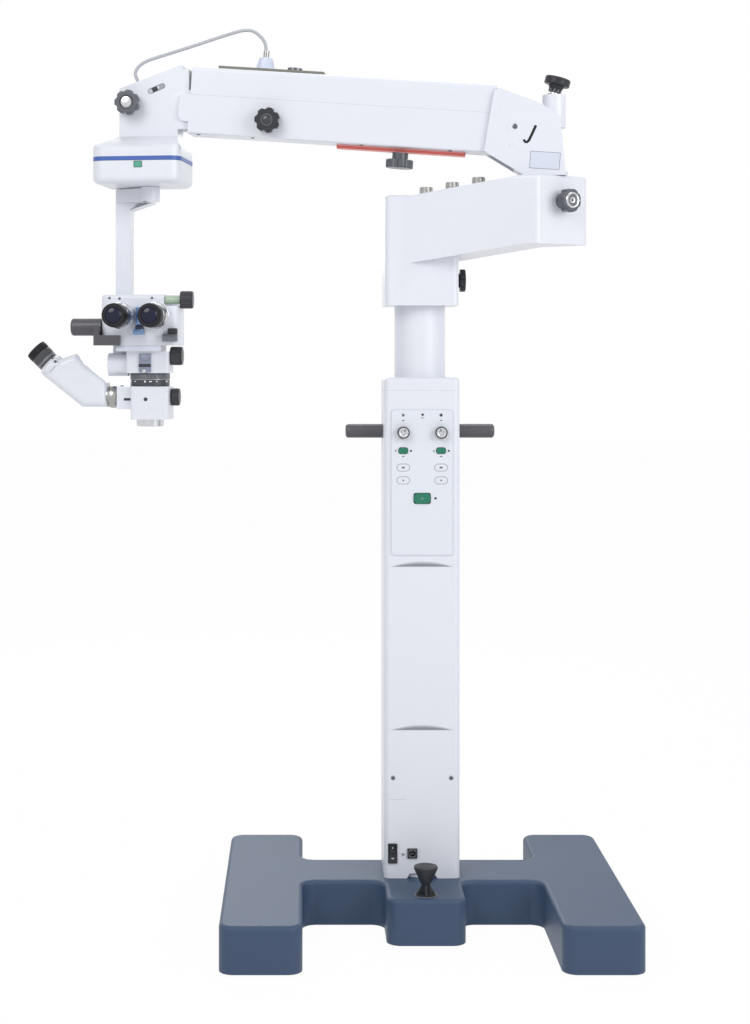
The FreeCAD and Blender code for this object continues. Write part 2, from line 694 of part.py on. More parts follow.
def make_base_shell():
    body = new_body("base_shell", WORLD)
    outline = polygon(
        (-s.base_half, -s.leg_front),
        (-leg_inner, -s.leg_front),
        (-leg_inner, -s.bar_front),
        (-s.tongue_half, -s.bar_front),
        (-s.tongue_half, -s.tongue_front),
        (s.tongue_half, -s.tongue_front),
        (s.tongue_half, -s.bar_front),
        (leg_inner, -s.bar_front),
        (leg_inner, -s.leg_front),
        (s.base_half, -s.leg_front),
        (s.base_half, s.leg_back),
        (leg_inner, s.leg_back),
        (leg_inner, s.bar_back),
        (-leg_inner, s.bar_back),
        (-leg_inner, s.leg_back),
        (-s.base_half, s.leg_back),
    )
    add(body, "XY", [outline], s.base_clearance, base_top)
    round_edges(body, s.base_corner, upright)
    round_edges(body, s.base_edge, level_at(base_top))
    roof = base_top - s.base_wall
    wells = []
    for name, side, along in CASTERS:
        end = s.leg_back - s.base_wall if name.startswith("back") else s.base_wall - s.leg_front
        start = end - s.well_length if name.startswith("back") else end
        inner, outer = leg_inner + s.base_wall, s.base_half - s.base_wall
        left, right = (inner, outer) if side > 0 else (-outer, -inner)
        wells.append(rectangle(left, start, right, start + s.well_length))
    for side in (-1, 1):
        near, far = s.bar_pocket_start, leg_inner
        left, right = (near, far) if side > 0 else (-far, -near)
        wells.append(rectangle(left, s.base_wall - s.bar_front, right, s.bar_back - s.base_wall))
    pedal = -s.pedal_setback
    half = s.pedal_well
    wells.append(rectangle(-half, s.base_wall - s.tongue_front, half, pedal + half))
    cut(body, "XY", wells, s.base_clearance, roof)
    bosses = [circle(side * leg_middle, along, s.stem_boss) for name, side, along in CASTERS]
    add(body, "XY", bosses, fork_top + s.gap, roof + s.base_wall / 3)
    bores = [circle(side * leg_middle, along, s.stem_radius + s.running)
             for name, side, along in CASTERS]
    cut(body, "XY", bores, fork_top, fork_top + s.gap + s.stem_length)
    cut(body, "XY", [circle(0, pedal, s.pedal_flange + s.running)], roof - s.gap, base_top)
    return body


def make_floor_feet():
    body = new_body("floor_feet", WORLD)
    middle = (s.leg_back - s.leg_front) / 2
    feet = [circle(0, 0, s.foot_radius)]
    for side in (-1, 1):
        for way in (-1, 1):
            feet.append(circle(side * leg_middle, middle + way * s.foot_row, s.foot_radius))
    add(body, "XY", feet, 0, s.base_clearance)
    return body


def make_brake_pedal():
    body = new_body("brake_pedal", STAND.moved(y=-s.pedal_setback))
    revolve(body, [
        (0, -s.pedal_guide),
        (s.pedal_flange, -s.pedal_guide),
        (s.pedal_flange, s.pedal_flange_up),
        (s.pedal_neck, s.pedal_flange_up),
        (s.pedal_neck, s.pedal_neck_up),
        (s.pedal_radius, s.pedal_rise - s.pedal_top),
        (s.pedal_radius, s.pedal_rise),
        (0, s.pedal_rise),
    ])
    round_edges(body, s.pedal_top / 3, level_at(s.pedal_rise))
    low = s.pedal_flange_up
    outer = s.pedal_flange * 0.92
    rib = polygon((-outer, low), (outer, low), (s.pedal_neck, s.pedal_neck_up),
                  (-s.pedal_neck, s.pedal_neck_up))
    half = s.pedal_rib / 2
    add(body, "XZ", [rib], -half, half)
    add(body, "YZ", [rib], -half, half)
    return body


def make_caster(name, side, along):
    place = WORLD.moved(side * leg_middle, along, 0)
    fork = new_body(f"caster_fork_{name}", place)
    inner = s.wheel_width / 2 + s.fork_gap
    outer = inner + s.fork_plate
    under = fork_top - s.fork_plate
    add(fork, "XY", [circle(0, 0, outer)], under, fork_top)
    add(fork, "XY", [circle(0, 0, s.stem_radius)], fork_top - s.gap, fork_top + s.stem_length)
    cheek = polygon(
        (-outer, fork_top),
        (-outer, under),
        (s.caster_trail - s.axle_radius * 2, s.wheel_radius - s.axle_radius * 2),
        (s.caster_trail + s.axle_radius * 2, s.wheel_radius - s.axle_radius * 2),
        (s.caster_trail + s.axle_radius * 2, s.wheel_radius + s.axle_radius * 2),
        (outer, under),
        (outer, fork_top),
    )
    add(fork, "XZ", [cheek], inner, outer)
    add(fork, "XZ", [cheek], -outer, -inner)
    axle = circle(s.caster_trail, s.wheel_radius, s.axle_radius)
    add(fork, "XZ", [axle], -inner - s.gap, inner + s.gap)
    wheel = new_body(f"caster_wheel_{name}", place)
    half = s.wheel_width / 2
    add(wheel, "XZ", [circle(s.caster_trail, s.wheel_radius, s.wheel_radius)], -half, half)
    round_edges(wheel, s.wheel_width / 8, face_at(half))
    round_edges(wheel, s.wheel_width / 8, face_at(-half))
    bore = circle(s.caster_trail, s.wheel_radius, s.axle_radius + s.running)
    cut(wheel, "XZ", [bore], -half, half)


# Column, control panel and its switches

def column_outline():
    half, deep = s.column_width / 2, s.column_depth / 2
    return rectangle(-half, -deep, half, deep)


def inner_outline():
    half, deep = s.column_width / 2 - s.column_wall, s.column_depth / 2 - s.column_wall
    return cut_corners(-half, -deep, half, deep, s.column_corner * 0.6)


def switch_holes():
    """The rockers' holes: middle across, middle height over the base, half sizes."""
    room = s.switch_room
    holes = []
    for side in (-1, 1):
        holes.append((side * s.control_across, panel_low + s.rocker_height,
                      s.rocker_width / 2 + room, s.rocker_tall / 2 + room))
    holes.append((as_size(0), panel_low + s.main_height,
                  s.main_width / 2 + room, s.main_tall / 2 + room))
    return holes


def hole_outlines(lower=0):
    return [cut_corners(x - half, z - lower - tall, x + half, z - lower + tall,
                        s.switch_corner * 0.5)
            for x, z, half, tall in switch_holes()]


def dial_bores(lower=0):
    height = panel_low + s.dial_height - lower
    return [circle(side * s.control_across, height, s.dial_shaft + s.running) for side in (-1, 1)]


def make_column_shell():
    body = new_body("column_shell", STAND)
    add(body, "XY", [column_outline()], 0, s.column_height)
    round_edges(body, s.column_corner, upright)
    cut(body, "XY", [inner_outline()], 0, s.column_height)
    inside = front_face + s.column_wall + s.gap
    outside = front_face - s.gap
    arch = polygon(
        (-s.arch_half, 0),
        (s.arch_half, 0),
        (s.arch_half * 0.8, s.arch_height),
        (-s.arch_half * 0.8, s.arch_height),
    )
    cut(body, "XZ", [arch], outside, inside)
    cut(body, "XZ", hole_outlines(), outside, inside)
    cut(body, "XZ", dial_bores(), outside, inside)
    for height in (scoop_high, s.scoop_low):
        scoop = polygon(
            (-s.scoop_half, height),
            (s.scoop_half, height),
            (s.scoop_half * 0.7, height + s.scoop_rise * 0.6),
            (s.scoop_half * 0.3, height + s.scoop_rise),
            (-s.scoop_half * 0.3, height + s.scoop_rise),
            (-s.scoop_half * 0.7, height + s.scoop_rise * 0.6),
        )
        cut(body, "XZ", [scoop], front_face, front_face + s.scoop_depth)
    inlet = rectangle(-s.inlet_across - s.mains_width / 2 - s.switch_room,
                      s.inlet_height + s.inlet_rocker_up - s.mains_tall / 2 - s.switch_room,
                      -s.inlet_across + s.mains_width / 2 + s.switch_room,
                      s.inlet_height + s.inlet_rocker_up + s.mains_tall / 2 + s.switch_room)
    cut(body, "XZ", [inlet], outside, inside)
    socket = circle(-s.socket_across, s.inlet_height, s.socket_bore + s.column_wall)
    cut(body, "XZ", [socket], outside, inside)
    return body


def make_column_cap():
    body = new_body("column_cap", STAND.moved(z=s.column_height))
    add(body, "XY", [column_outline()], 0, s.cap_height)
    round_edges(body, s.column_corner, upright)
    round_edges(body, s.cap_edge, level_at(s.cap_height))
    cut(body, "XY", [circle(0, 0, s.tube_radius)], 0, s.cap_height)
    return body


def make_column_tube():
    body = new_body("column_tube", STAND)
    length = s.column_height + s.cap_height + s.tube_bare + s.tube_in_head
    add(body, "XY", [circle(0, 0, s.tube_radius)], 0, length)
    add(body, "XY", [circle(0, 0, s.flange_radius)], 0, s.flange_height)
    cut(body, "XY", [circle(0, 0, s.tube_radius - s.tube_wall)], 0, length)
    return body


def make_control_panel():
    body = new_body("control_panel", PANEL)
    plate = rectangle(-s.panel_half, 0, s.panel_half, s.panel_height)
    add(body, "XZ", [plate], -s.panel_thick, 0)
    round_edges(body, s.panel_corner, crosswise_y)
    cut(body, "XZ", hole_outlines(panel_low) + dial_bores(panel_low), -s.panel_thick, 0)
    return body


def crosswise_y(edge):
    box = edge.BoundBox
    return box.XLength < SMALL and box.ZLength < SMALL


def make_dial(name, side):
    place = PANEL.moved(side * s.control_across, -s.panel_thick, s.dial_height).turned("X", 90)
    body = new_body(f"dial_{name}", place)
    inside = s.panel_thick + s.column_wall
    add(body, "XY", [circle(0, 0, s.dial_shaft)], -inside, s.gap)
    add(body, "XY", [circle(0, 0, s.dial_radius)], s.gap, s.dial_depth)
    round_edges(body, s.dial_depth / 8, level_at(s.dial_depth))


def make_rocker(label, place, width, tall, corner):
    """A rocker on an upright axis at its own origin, its two wings slightly raised."""
    body = new_body(label, place)
    half, deep = width / 2, s.rocker_half_depth
    top = polygon(
        (-half, deep),
        (-half, -deep),
        (0, -deep * 0.6),
        (half, -deep),
        (half, deep),
    )
    add(body, "XY", [top], -tall / 2, tall / 2)
    round_edges(body, corner, crosswise_y)
    return body


def make_switches():
    axis = PANEL.moved(y=-s.panel_thick)
    for name, side in (("left", -1), ("right", 1)):
        place = axis.moved(x=side * s.control_across, z=s.rocker_height)
        make_rocker(f"rocker_{name}", place, s.rocker_width, s.rocker_tall, s.switch_corner)
    make_rocker("main_switch", axis.moved(z=s.main_height), s.main_width, s.main_tall,
                s.switch_corner * 1.4)
    mains = STAND.moved(-s.inlet_across, front_face - s.inlet_proud,
                        s.inlet_height + s.inlet_rocker_up).turned("Y", 90)
    make_rocker("mains_rocker", mains, s.mains_tall, s.mains_width, s.switch_room)


def make_side_grips():
    body = new_body("side_grips", STAND.moved(z=grip_height))
    half = s.column_width / 2
    end = half + s.grip_length
    for start, stop in ((half, end), (-end, -half)):
        add(body, "YZ", [circle(0, 0, s.grip_root)], start, stop)
    doc.recompute()
    round_edges(body, s.grip_tip / 2, lambda edge: side_at(end)(edge) or side_at(-end)(edge))
    return body


def make_connectors():
    """Switch module and foot switch socket in the column's front, near its foot."""
    body = new_body("connectors", STAND.moved(y=front_face, z=s.inlet_height))
    left, right = -s.inlet_across - s.inlet_half, -s.inlet_across + s.inlet_half
    module = rectangle(left, -s.inlet_tall / 2, right, s.inlet_tall / 2)
    add(body, "XZ", [module], -s.inlet_proud, 0)
    square = rectangle(-s.socket_across - s.socket_half, -s.socket_half,
                       -s.socket_across + s.socket_half, s.socket_half)
    add(body, "XZ", [square], -s.inlet_proud, 0)
    add(body, "XZ", [circle(-s.socket_across, 0, s.socket_bore + s.column_wall)],
        -s.gap, s.socket_body)
    cut(body, "XZ", [circle(-s.socket_across, 0, s.socket_bore)],
        -s.inlet_proud, s.socket_deep - s.inlet_proud)
    window = rectangle(-s.inlet_across - s.mains_width / 2 - s.switch_room,
                       s.inlet_rocker_up - s.mains_tall / 2 - s.switch_room,
                       -s.inlet_across + s.mains_width / 2 + s.switch_room,
                       s.inlet_rocker_up + s.mains_tall / 2 + s.switch_room)
    cut(body, "XZ", [window], -s.inlet_proud, 0)
    return body


# Head: turns on the tube and carries the arm's swing axis

head_end = s.head_reach + s.head_nose
head_slope = s.head_rise / s.head_level


def head_top_at(along):
    """Height of the sloping top over the head's underside."""
    return s.head_under + s.head_thick + head_slope * along


def make_head_housing():
    body = new_body("head_housing", HEAD)
    half = s.head_cap_half
    add(body, "XY", [rectangle(-half, -half, half, half)], 0, s.head_cap_height, turn=-s.head_yaw)
    round_edges(body, s.head_corner, upright)
    round_edges(body, s.head_edge, level_at(s.head_cap_height))
    level_low = s.head_under + s.head_rise
    profile = polygon(
        (0, s.head_under),
        (s.head_level, level_low),
        (head_end, level_low),
        (head_end, head_arm_top),
        (s.head_level, head_arm_top),
        (0, head_top_at(0)),
    )
    add(body, "XZ", [profile], -s.head_front, s.head_back)
    facet = polygon(
        (s.facet_start, -s.head_front),
        (s.facet_start, -s.head_front * 2),
        (head_end * 2, -s.head_front * 2),
        (head_end * 2, s.facet_end),
        (head_end, s.facet_end),
    )
    cut(body, "XY", [facet], 0, head_arm_top * 2)
    back = polygon(
        (s.head_reach, s.head_back),
        (head_end, s.facet_end * 2),
        (head_end * 2, s.facet_end * 2),
        (head_end * 2, s.head_back * 2),
        (s.head_reach, s.head_back * 2),
    )
    cut(body, "XY", [back], 0, head_arm_top * 2)
    nose = s.head_reach - s.head_corner

    def nose_edge(edge):
        return upright(edge) and edge.BoundBox.XMin > as_size(nose).number

    round_edges(body, s.head_corner, nose_edge)
    round_edges(body, s.head_edge, level_at(head_arm_top))
    bores = [(0, 0, s.tube_radius + s.running, -s.gap, s.tube_in_head + s.gap),
             (s.head_reach, 0, s.spindle_radius + s.running,
              head_arm_top - s.spindle_length - s.gap, head_arm_top)]
    for number in range(3):
        along = s.screw_start + s.screw_pitch * number
        bores.append((along, 0, s.screw_radius, head_top_at(along) - s.screw_sunk,
                      head_arm_top))
    for x, y, radius, low, high in bores:
        cut(body, "XY", [circle(x, y, radius)], low, high)
    for place in (head_knob_place(WORLD), facet_place(WORLD)):
        bore(body, place.moved(z=-s.lock_stem_length - s.gap), s.lock_stem + s.running,
             s.lock_stem_length + s.gap * 2)
    return body


def make_cap_screws():
    body = new_body("cap_screws", HEAD)
    for number in range(3):
        along = s.screw_start + s.screw_pitch * number
        seat = head_top_at(along) - s.screw_sunk
        top = head_top_at(along) + s.screw_height
        add(body, "XY", [circle(along, 0, s.screw_radius)], seat, top)
        corners = [(along + s.screw_hex * cosine(60 * side), s.screw_hex * sine(60 * side))
                   for side in range(6)]
        cut(body, "XY", [polygon(*corners)], top - s.screw_hex_deep, top)
    return body


def head_knob_place(head):
    """On the cap's right side, local Z pointing out of it."""
    side = head.turned("Z", -s.head_yaw).moved(s.head_cap_half, 0, s.head_knob_up)
    return side.turned("Y", 90)


def facet_place(head):
    """The middle of the facet, local Z pointing out of it."""
    run = head_end - s.facet_start
    across = s.facet_end + s.head_front
    lean = Size(math.degrees(math.atan2(run.number, across.number)),
                f"(atan2({run.text}; {across.text}) / 1 deg)")
    middle = head.moved(s.facet_start + run / 2, s.facet_end / 2 - s.head_front / 2,
                        s.pivot_knob_up)
    return middle.turned("Z", -lean).turned("Y", 90)


# Arm bracket: swings on the head, carries both pivots of the parallel arm

def make_rear_bracket():
    body = new_body("rear_bracket", BRACKET)
    cheek = polygon(
        (-s.pivot_back * 1.79, s.pivot_up * 0.51),
        (-s.pivot_back * 0.65, 0),
        (s.pivot_back * 0.51, 0),
        (s.pivot_back * 0.35, s.pivot_up * 1.2),
        (-s.pivot_back * 0.2, s.pivot_up * 1.465),
        (-s.pivot_back * 1.48, s.pivot_up * 1.83),
    )
    add(body, "XZ", [cheek], -s.cheek_half, s.cheek_half)
    right = s.pivot_back * 0.4

    def shoulder(edge):
        return crosswise_y(edge) and edge.BoundBox.XMin > -right.number * 4 \
            and edge.BoundBox.ZMin > s.pivot_up.number

    round_edges(body, s.boss_right, shoulder)
    slot_half = s.cheek_half - s.cheek_plate
    cut(body, "XY", [rectangle(-s.pivot_back * 2, -slot_half, -s.pivot_back * 0.2, slot_half)],
        s.bracket_floor, s.pivot_up * 2)
    add(body, "XY", [circle(0, 0, s.bracket_disc)], 0, s.bracket_disc_height)
    add(body, "XY", [circle(0, 0, s.spindle_radius)], -s.spindle_length, s.gap)
    add(body, "XY", [circle(s.boss_right, 0, s.boss_radius)], s.pivot_up, s.boss_top)
    holes = [circle(-s.pivot_back, s.pivot_up, s.pin_radius),
             circle(-s.pivot_back, s.pivot_up - s.link_drop, s.link_pin_radius)]
    cut(body, "XZ", holes, -s.cheek_half, s.cheek_half)
    place = WORLD.moved(s.boss_right, 0, s.boss_top).turned("Y", s.balance_tilt)
    bore(body, place.moved(z=-s.balance_in_boss - s.gap), s.balance_neck + s.running,
         s.balance_in_boss + s.balance_stem)
    return body


def make_rear_pins():
    body = new_body("rear_pins", BRACKET)
    add(body, "XZ", [circle(-s.pivot_back, s.pivot_up, s.pin_radius)], -s.cheek_half, s.cheek_half)
    add(body, "XZ", [circle(-s.pivot_back, s.pivot_up - s.link_drop, s.link_pin_radius)],
        -s.cheek_half, s.cheek_half)
    return body


def make_balance_knob():
    place = BRACKET.moved(s.boss_right, 0, s.boss_top).turned("Y", s.balance_tilt)
    body = new_body("balance_knob", place)
    high = s.balance_stem + s.balance_depth
    add(body, "XY", [circle(0, 0, s.balance_neck)], -s.balance_in_boss, s.balance_stem)
    add(body, "XY", [circle(0, 0, s.balance_radius)], s.balance_stem, high)
    round_edges(body, s.balance_depth / 5, level_at(high))
    round_edges(body, s.balance_depth / 5, level_at(s.balance_stem))
    return body


# Parallel arm

def casing_ends():
    return -s.arm_length + s.casing_front, -s.casing_back


def make_arm_beam():
    body = new_body("arm_beam", ARM)
    high = s.beam_radius
    add(body, "XZ", [rectangle(-s.arm_length, -high, 0, high)], -s.beam_half, s.beam_half)
    for place in (as_size(0), -s.arm_length):
        add(body, "XZ", [circle(place, 0, high)], -s.beam_half, s.beam_half)
    cut(body, "XY", [rectangle(-s.arm_length + s.fork_deep * 1.5, s.beam_wall - s.beam_half,
                               -high * 2, s.beam_half - s.beam_wall)],
        s.beam_wall - high, high)
    cut(body, "XY", [rectangle(-s.arm_length * 1.1, -s.fork_half,
                               -s.arm_length + s.fork_deep, s.fork_half)], -high, high)
    cut(body, "XZ", [circle(0, 0, s.pin_radius + s.running),
                     circle(-s.arm_length, 0, s.pin_radius + s.running)],
        -s.beam_half, s.beam_half)
    return body


def make_arm_link():
    body = new_body("arm_link", LINK)
    half = s.link_half
    add(body, "XZ", [rectangle(-s.arm_length, -half, 0, half)], -half, half)
    for place in (as_size(0), -s.arm_length):
        add(body, "XZ", [circle(place, 0, s.link_eye)], -half, half)
    cut(body, "XZ", [circle(0, 0, s.link_pin_radius + s.running),
                     circle(-s.arm_length, 0, s.link_pin_radius + s.running)], -half, half)
    return body


def make_arm_covers():
    left, right = casing_ends()
    half = s.casing_half
    inner = s.beam_half + s.gap
    lower = new_body("arm_lower_cover", ARM)
    add(lower, "XY", [rectangle(left, -half, right, half)], -s.casing_bottom, s.casing_seam)
    tab = rectangle(-s.arm_length - s.tab_reach, -s.tab_half, left + s.casing_edge,
                    s.casing_seam)
    add(lower, "XZ", [tab], -half, half)
    tab_edge = as_size(-s.arm_length - s.tab_reach).number

    def tab_corner(edge):
        return crosswise_y(edge) and abs(edge.BoundBox.XMin - tab_edge) < SMALL

    round_edges(lower, s.tab_reach * 0.9, tab_corner)
    round_edges(lower, s.casing_lower_edge, lambda edge: level_at(-s.casing_bottom)(edge)
                and edge.BoundBox.XLength > s.arm_length.number / 2)
    cut(lower, "XY", [rectangle(-s.arm_length * 1.1, -inner, 0, inner)],
        -s.casing_bottom + s.casing_wall, s.casing_seam)
    stem = s.knob_stem + s.running
    cut(lower, "XZ", [circle(-s.side_knob_at, -s.side_knob_down, stem)], -half, -inner)
    cut(lower, "XY", [circle(-s.under_knob_at, 0, stem)],
        -s.casing_bottom, -s.casing_bottom + s.casing_wall)
    upper = new_body("arm_upper_cover", ARM)
    add(upper, "XY", [rectangle(left, -half, right, half)], s.casing_seam, s.casing_top)
    round_edges(upper, s.casing_edge, lambda edge: level_at(s.casing_top)(edge)
                and edge.BoundBox.XLength > s.arm_length.number / 2)
    cut(upper, "XY", [rectangle(-s.arm_length * 1.1, -inner, 0, inner)],
        s.casing_seam, s.casing_top - s.casing_wall)


def make_arm_fittings():
    plate = new_body("arm_top_plate", ARM.moved(z=s.casing_top))
    left = -s.plate_start - s.plate_length
    add(plate, "XY", [rectangle(left, -s.plate_half, -s.plate_start, s.plate_half)],
        0, s.plate_thick)
    add(plate, "XY", [circle(-s.stud_at, 0, s.stud_radius)], s.plate_thick / 2,
        s.plate_thick + s.stud_rise)
    boss = new_body("cable_boss", ARM.moved(-s.boss_at, 0, s.casing_top + s.plate_thick))
    clip_top = s.boss_rise + s.clip_rise
    revolve(boss, [
        (0, 0),
        (s.boss_root, 0),
        (s.boss_tip, s.boss_rise),
        (s.clip_radius, s.boss_rise),
        (s.clip_radius, clip_top),
        (0, clip_top),
    ])
    cut(boss, "XY", [circle(0, 0, s.cord_radius)], s.boss_rise, clip_top)
    rail = new_body("red_rail", ARM.moved(z=-s.casing_bottom))
    add(rail, "XZ", [rectangle(-s.rail_start - s.rail_length, -s.rail_tall,
                               -s.rail_start, 0)], -s.rail_half, s.rail_half)
    round_edges(rail, s.rail_half / 2, lambda edge: upright(edge)
                or (level_at(-s.rail_tall)(edge) and not upright(edge)))
    cut(rail, "XY", [circle(-s.under_knob_at, 0, s.knob_stem + s.running)], -s.rail_tall, 0)
    side = ARM.moved(-s.side_knob_at, -s.casing_half, -s.side_knob_down).turned("X", 90)
    lobed_knob("side_knob", side, s.side_knob_radius, s.side_knob_depth,
               s.knob_stem, s.knob_stem_length)
    under = ARM.moved(-s.under_knob_at, 0, -s.casing_bottom - s.rail_tall).turned("X", 180)
    knob = new_body("under_knob", under)
    add(knob, "XY", [circle(0, 0, s.knob_stem)], -s.rail_tall - s.casing_wall, s.gap)
    add(knob, "XY", [circle(0, 0, s.under_neck)], s.gap, s.under_neck_length)
    deep = s.under_neck_length + s.under_knob_depth
    add(knob, "XY", [circle(0, 0, s.under_knob_radius)], s.under_neck_length, deep)
    round_edges(knob, s.under_knob_depth / 5, level_at(deep))
    scallop = cut(knob, "XY", [circle(s.under_knob_radius * 1.12, 0, s.under_knob_radius * 0.27)],
                  s.under_neck_length, deep * 1.05)
    repeat(knob, scallop, LOBES)


# Front knuckle and cross table

table_middle = -(s.table_left + s.table_right) / 2
table_outline = rectangle(-s.table_left, -s.table_half, -s.table_right, s.table_half)


def knuckle_top_at(along):
    """Height of the sloping top; along is measured left of the knuckle's right side."""
    return s.knuckle_top - (s.knuckle_top - s.knuckle_left_top) * along \
        / (s.knuckle_left + s.knuckle_right)


def make_knuckle_housing():
    body = new_body("knuckle_housing", KNUCKLE)
    notch = s.knuckle_right - s.knuckle_notch
    profile = polygon(
        (-s.knuckle_left, -s.knuckle_neck),
        (-s.knuckle_under, -s.knuckle_neck),
        (-s.knuckle_under, -s.knuckle_under_top),
        (s.knuckle_right, -s.knuckle_under_top),
        (s.knuckle_right, s.knuckle_notch_top),
        (notch, s.knuckle_notch_top),
        (notch, knuckle_top_at(s.knuckle_notch)),
        (-s.knuckle_left, s.knuckle_left_top),
    )
    add(body, "XZ", [profile], -s.knuckle_half, s.knuckle_half)
    loft = body.newObject("PartDesign::AdditiveLoft", "knuckle_flare")
    neck = rectangle(-s.knuckle_left, -s.knuckle_half, -s.knuckle_under, s.knuckle_half)
    loft.Profile = new_sketch(body, "XY", -s.knuckle_neck, [neck])
    loft.Sections = [new_sketch(body, "XY", -s.flare_bottom, [table_outline])]
    add(body, "XY", [table_outline], -s.skirt_bottom, -s.flare_bottom)

    def skirt_corner(edge):
        return edge.BoundBox.ZMax < -s.knuckle_neck.number + SMALL \
            and abs(edge.BoundBox.YMin) > s.knuckle_half.number / 2 \
            and edge.BoundBox.ZLength > SMALL and edge.BoundBox.ZMin < -s.flare_bottom.number - SMALL

    round_edges(body, s.table_corner, skirt_corner)
    recess = circle(0, 0, s.recess_radius)
    cut(body, "XZ", [recess], -s.knuckle_half, -s.tongue_side)
    cut(body, "XZ", [recess], s.tongue_side, s.knuckle_half)
    slot = s.link_half + s.gap * 2
    reach = s.link_eye + s.gap * 3
    cut(body, "XZ", [rectangle(-reach, -s.link_drop - reach, s.knuckle_right * 2,
                               -s.link_drop + reach)], -slot, slot)
    cut(body, "XZ", [circle(0, 0, s.pin_radius), circle(0, -s.link_drop, s.link_pin_radius)],
        -s.knuckle_half, s.knuckle_half)
    cut(body, "XZ", [circle(-s.knuckle_knob_at, s.knuckle_knob_up, s.lock_stem + s.running)],
        -s.knuckle_half, -s.knuckle_half + s.lock_stem_length + s.gap)
    mouth = WORLD.moved(-s.hole_along, 0, knuckle_top_at(s.hole_along + s.knuckle_right))
    bore(body, mouth.turned("Y", -s.hole_lean).moved(z=-s.hole_deep),
         s.cord_radius + s.hole_play, s.hole_deep * 2)
    corners = []
    for along, up in ((-1, -1), (1, -1), (1, 1), (-1, 1)):
        run, rise = s.slot_half * along, s.slot_tall / 2 * up
        corners.append((-s.slot_along + run * cosine(s.knuckle_slope) + rise * sine(s.knuckle_slope),
                        s.slot_up + rise * cosine(s.knuckle_slope) - run * sine(s.knuckle_slope)))
    cut(body, "XZ", [polygon(*corners)], -s.knuckle_half, -s.knuckle_half + s.slot_deep)
    return body


def make_front_pins():
    body = new_body("front_pins", KNUCKLE)
    add(body, "XZ", [circle(0, 0, s.pin_radius)], -s.beam_half, s.beam_half)
    add(body, "XZ", [circle(0, -s.link_drop, s.link_pin_radius)], -s.knuckle_half, s.knuckle_half)
    return body


def make_cross_table():
    band = new_body("blue_band", KNUCKLE)
    inner = cut_corners(-s.table_left + s.band_wall, -s.table_half + s.band_wall,
                        -s.table_right - s.band_wall, s.table_half - s.band_wall,
                        s.table_corner * 0.6)
    band_low = -s.skirt_bottom - s.band_height
    add(band, "XY", [table_outline], band_low, -s.skirt_bottom)
    round_edges(band, s.table_corner, upright)
    cut(band, "XY", [inner], band_low, -s.skirt_bottom)
    stage = new_body("x_stage", KNUCKLE)
    stage_high = -s.skirt_bottom - s.gap
    add(stage, "XY", [rectangle(table_middle - s.stage_half, -s.stage_depth,
                                table_middle + s.stage_half, s.stage_depth)],
        stage_high - s.stage_height, stage_high)
    box = new_body("xy_box", KNUCKLE)
    box_high = band_low - s.gap
    add(box, "XY", [table_outline], table_low, box_high)
    round_edges(box, s.table_corner, upright)
    round_edges(box, s.table_edge, level_at(table_low))
    hollow = rectangle(-s.table_left + s.table_wall * 2, -s.table_half + s.table_wall * 2,
                       -s.table_right - s.table_wall * 2, s.table_half - s.table_wall * 2)
    cut(box, "XY", [hollow], stage_high - s.stage_height - s.gap, box_high)
    cut(box, "XY", [circle(-s.swing_left, s.swing_back, s.carrier_stem + s.running)],
        table_low, table_low + s.carrier_stem_length + s.gap)


# Carrier and microscope

def make_carrier():
    body = new_body("carrier_arm", CARRIER)
    boss = s.carrier_boss
    low = -s.carrier_thick - s.gap
    left, right = -s.bar_left, s.bar_width - s.bar_left
    front, back = s.bar_start, s.bar_start + s.bar_depth
    add(body, "XY", [circle(0, 0, boss)], low, -s.gap)
    add(body, "XY", [circle(0, 0, s.carrier_stem)], -s.gap, s.carrier_stem_length)
    arm = polygon((0, -boss), (0, boss), (right, back), (left, back), (left, front))
    add(body, "XY", [arm], low, -s.gap * 10)
    side = polygon(
        (left, -s.gap * 10),
        (left, -s.bar_length),
        (right, -s.bar_length),
        (right, low - s.carrier_drop),
        (0, low),
        (0, -s.gap * 10),
    )
    add(body, "XZ", [side], front, back)
    return body


def make_focus_unit():
    body = new_body("focus_unit", CARRIER.moved(z=-s.bar_length))
    add(body, "XY", [rectangle(-s.focus_left, s.focus_front, s.focus_width - s.focus_left,
                               s.focus_front + s.focus_depth)], -s.focus_height, 0)
    round_edges(body, s.head_corner / 3, upright)
    return body


head_back = s.head_deep - s.head_face


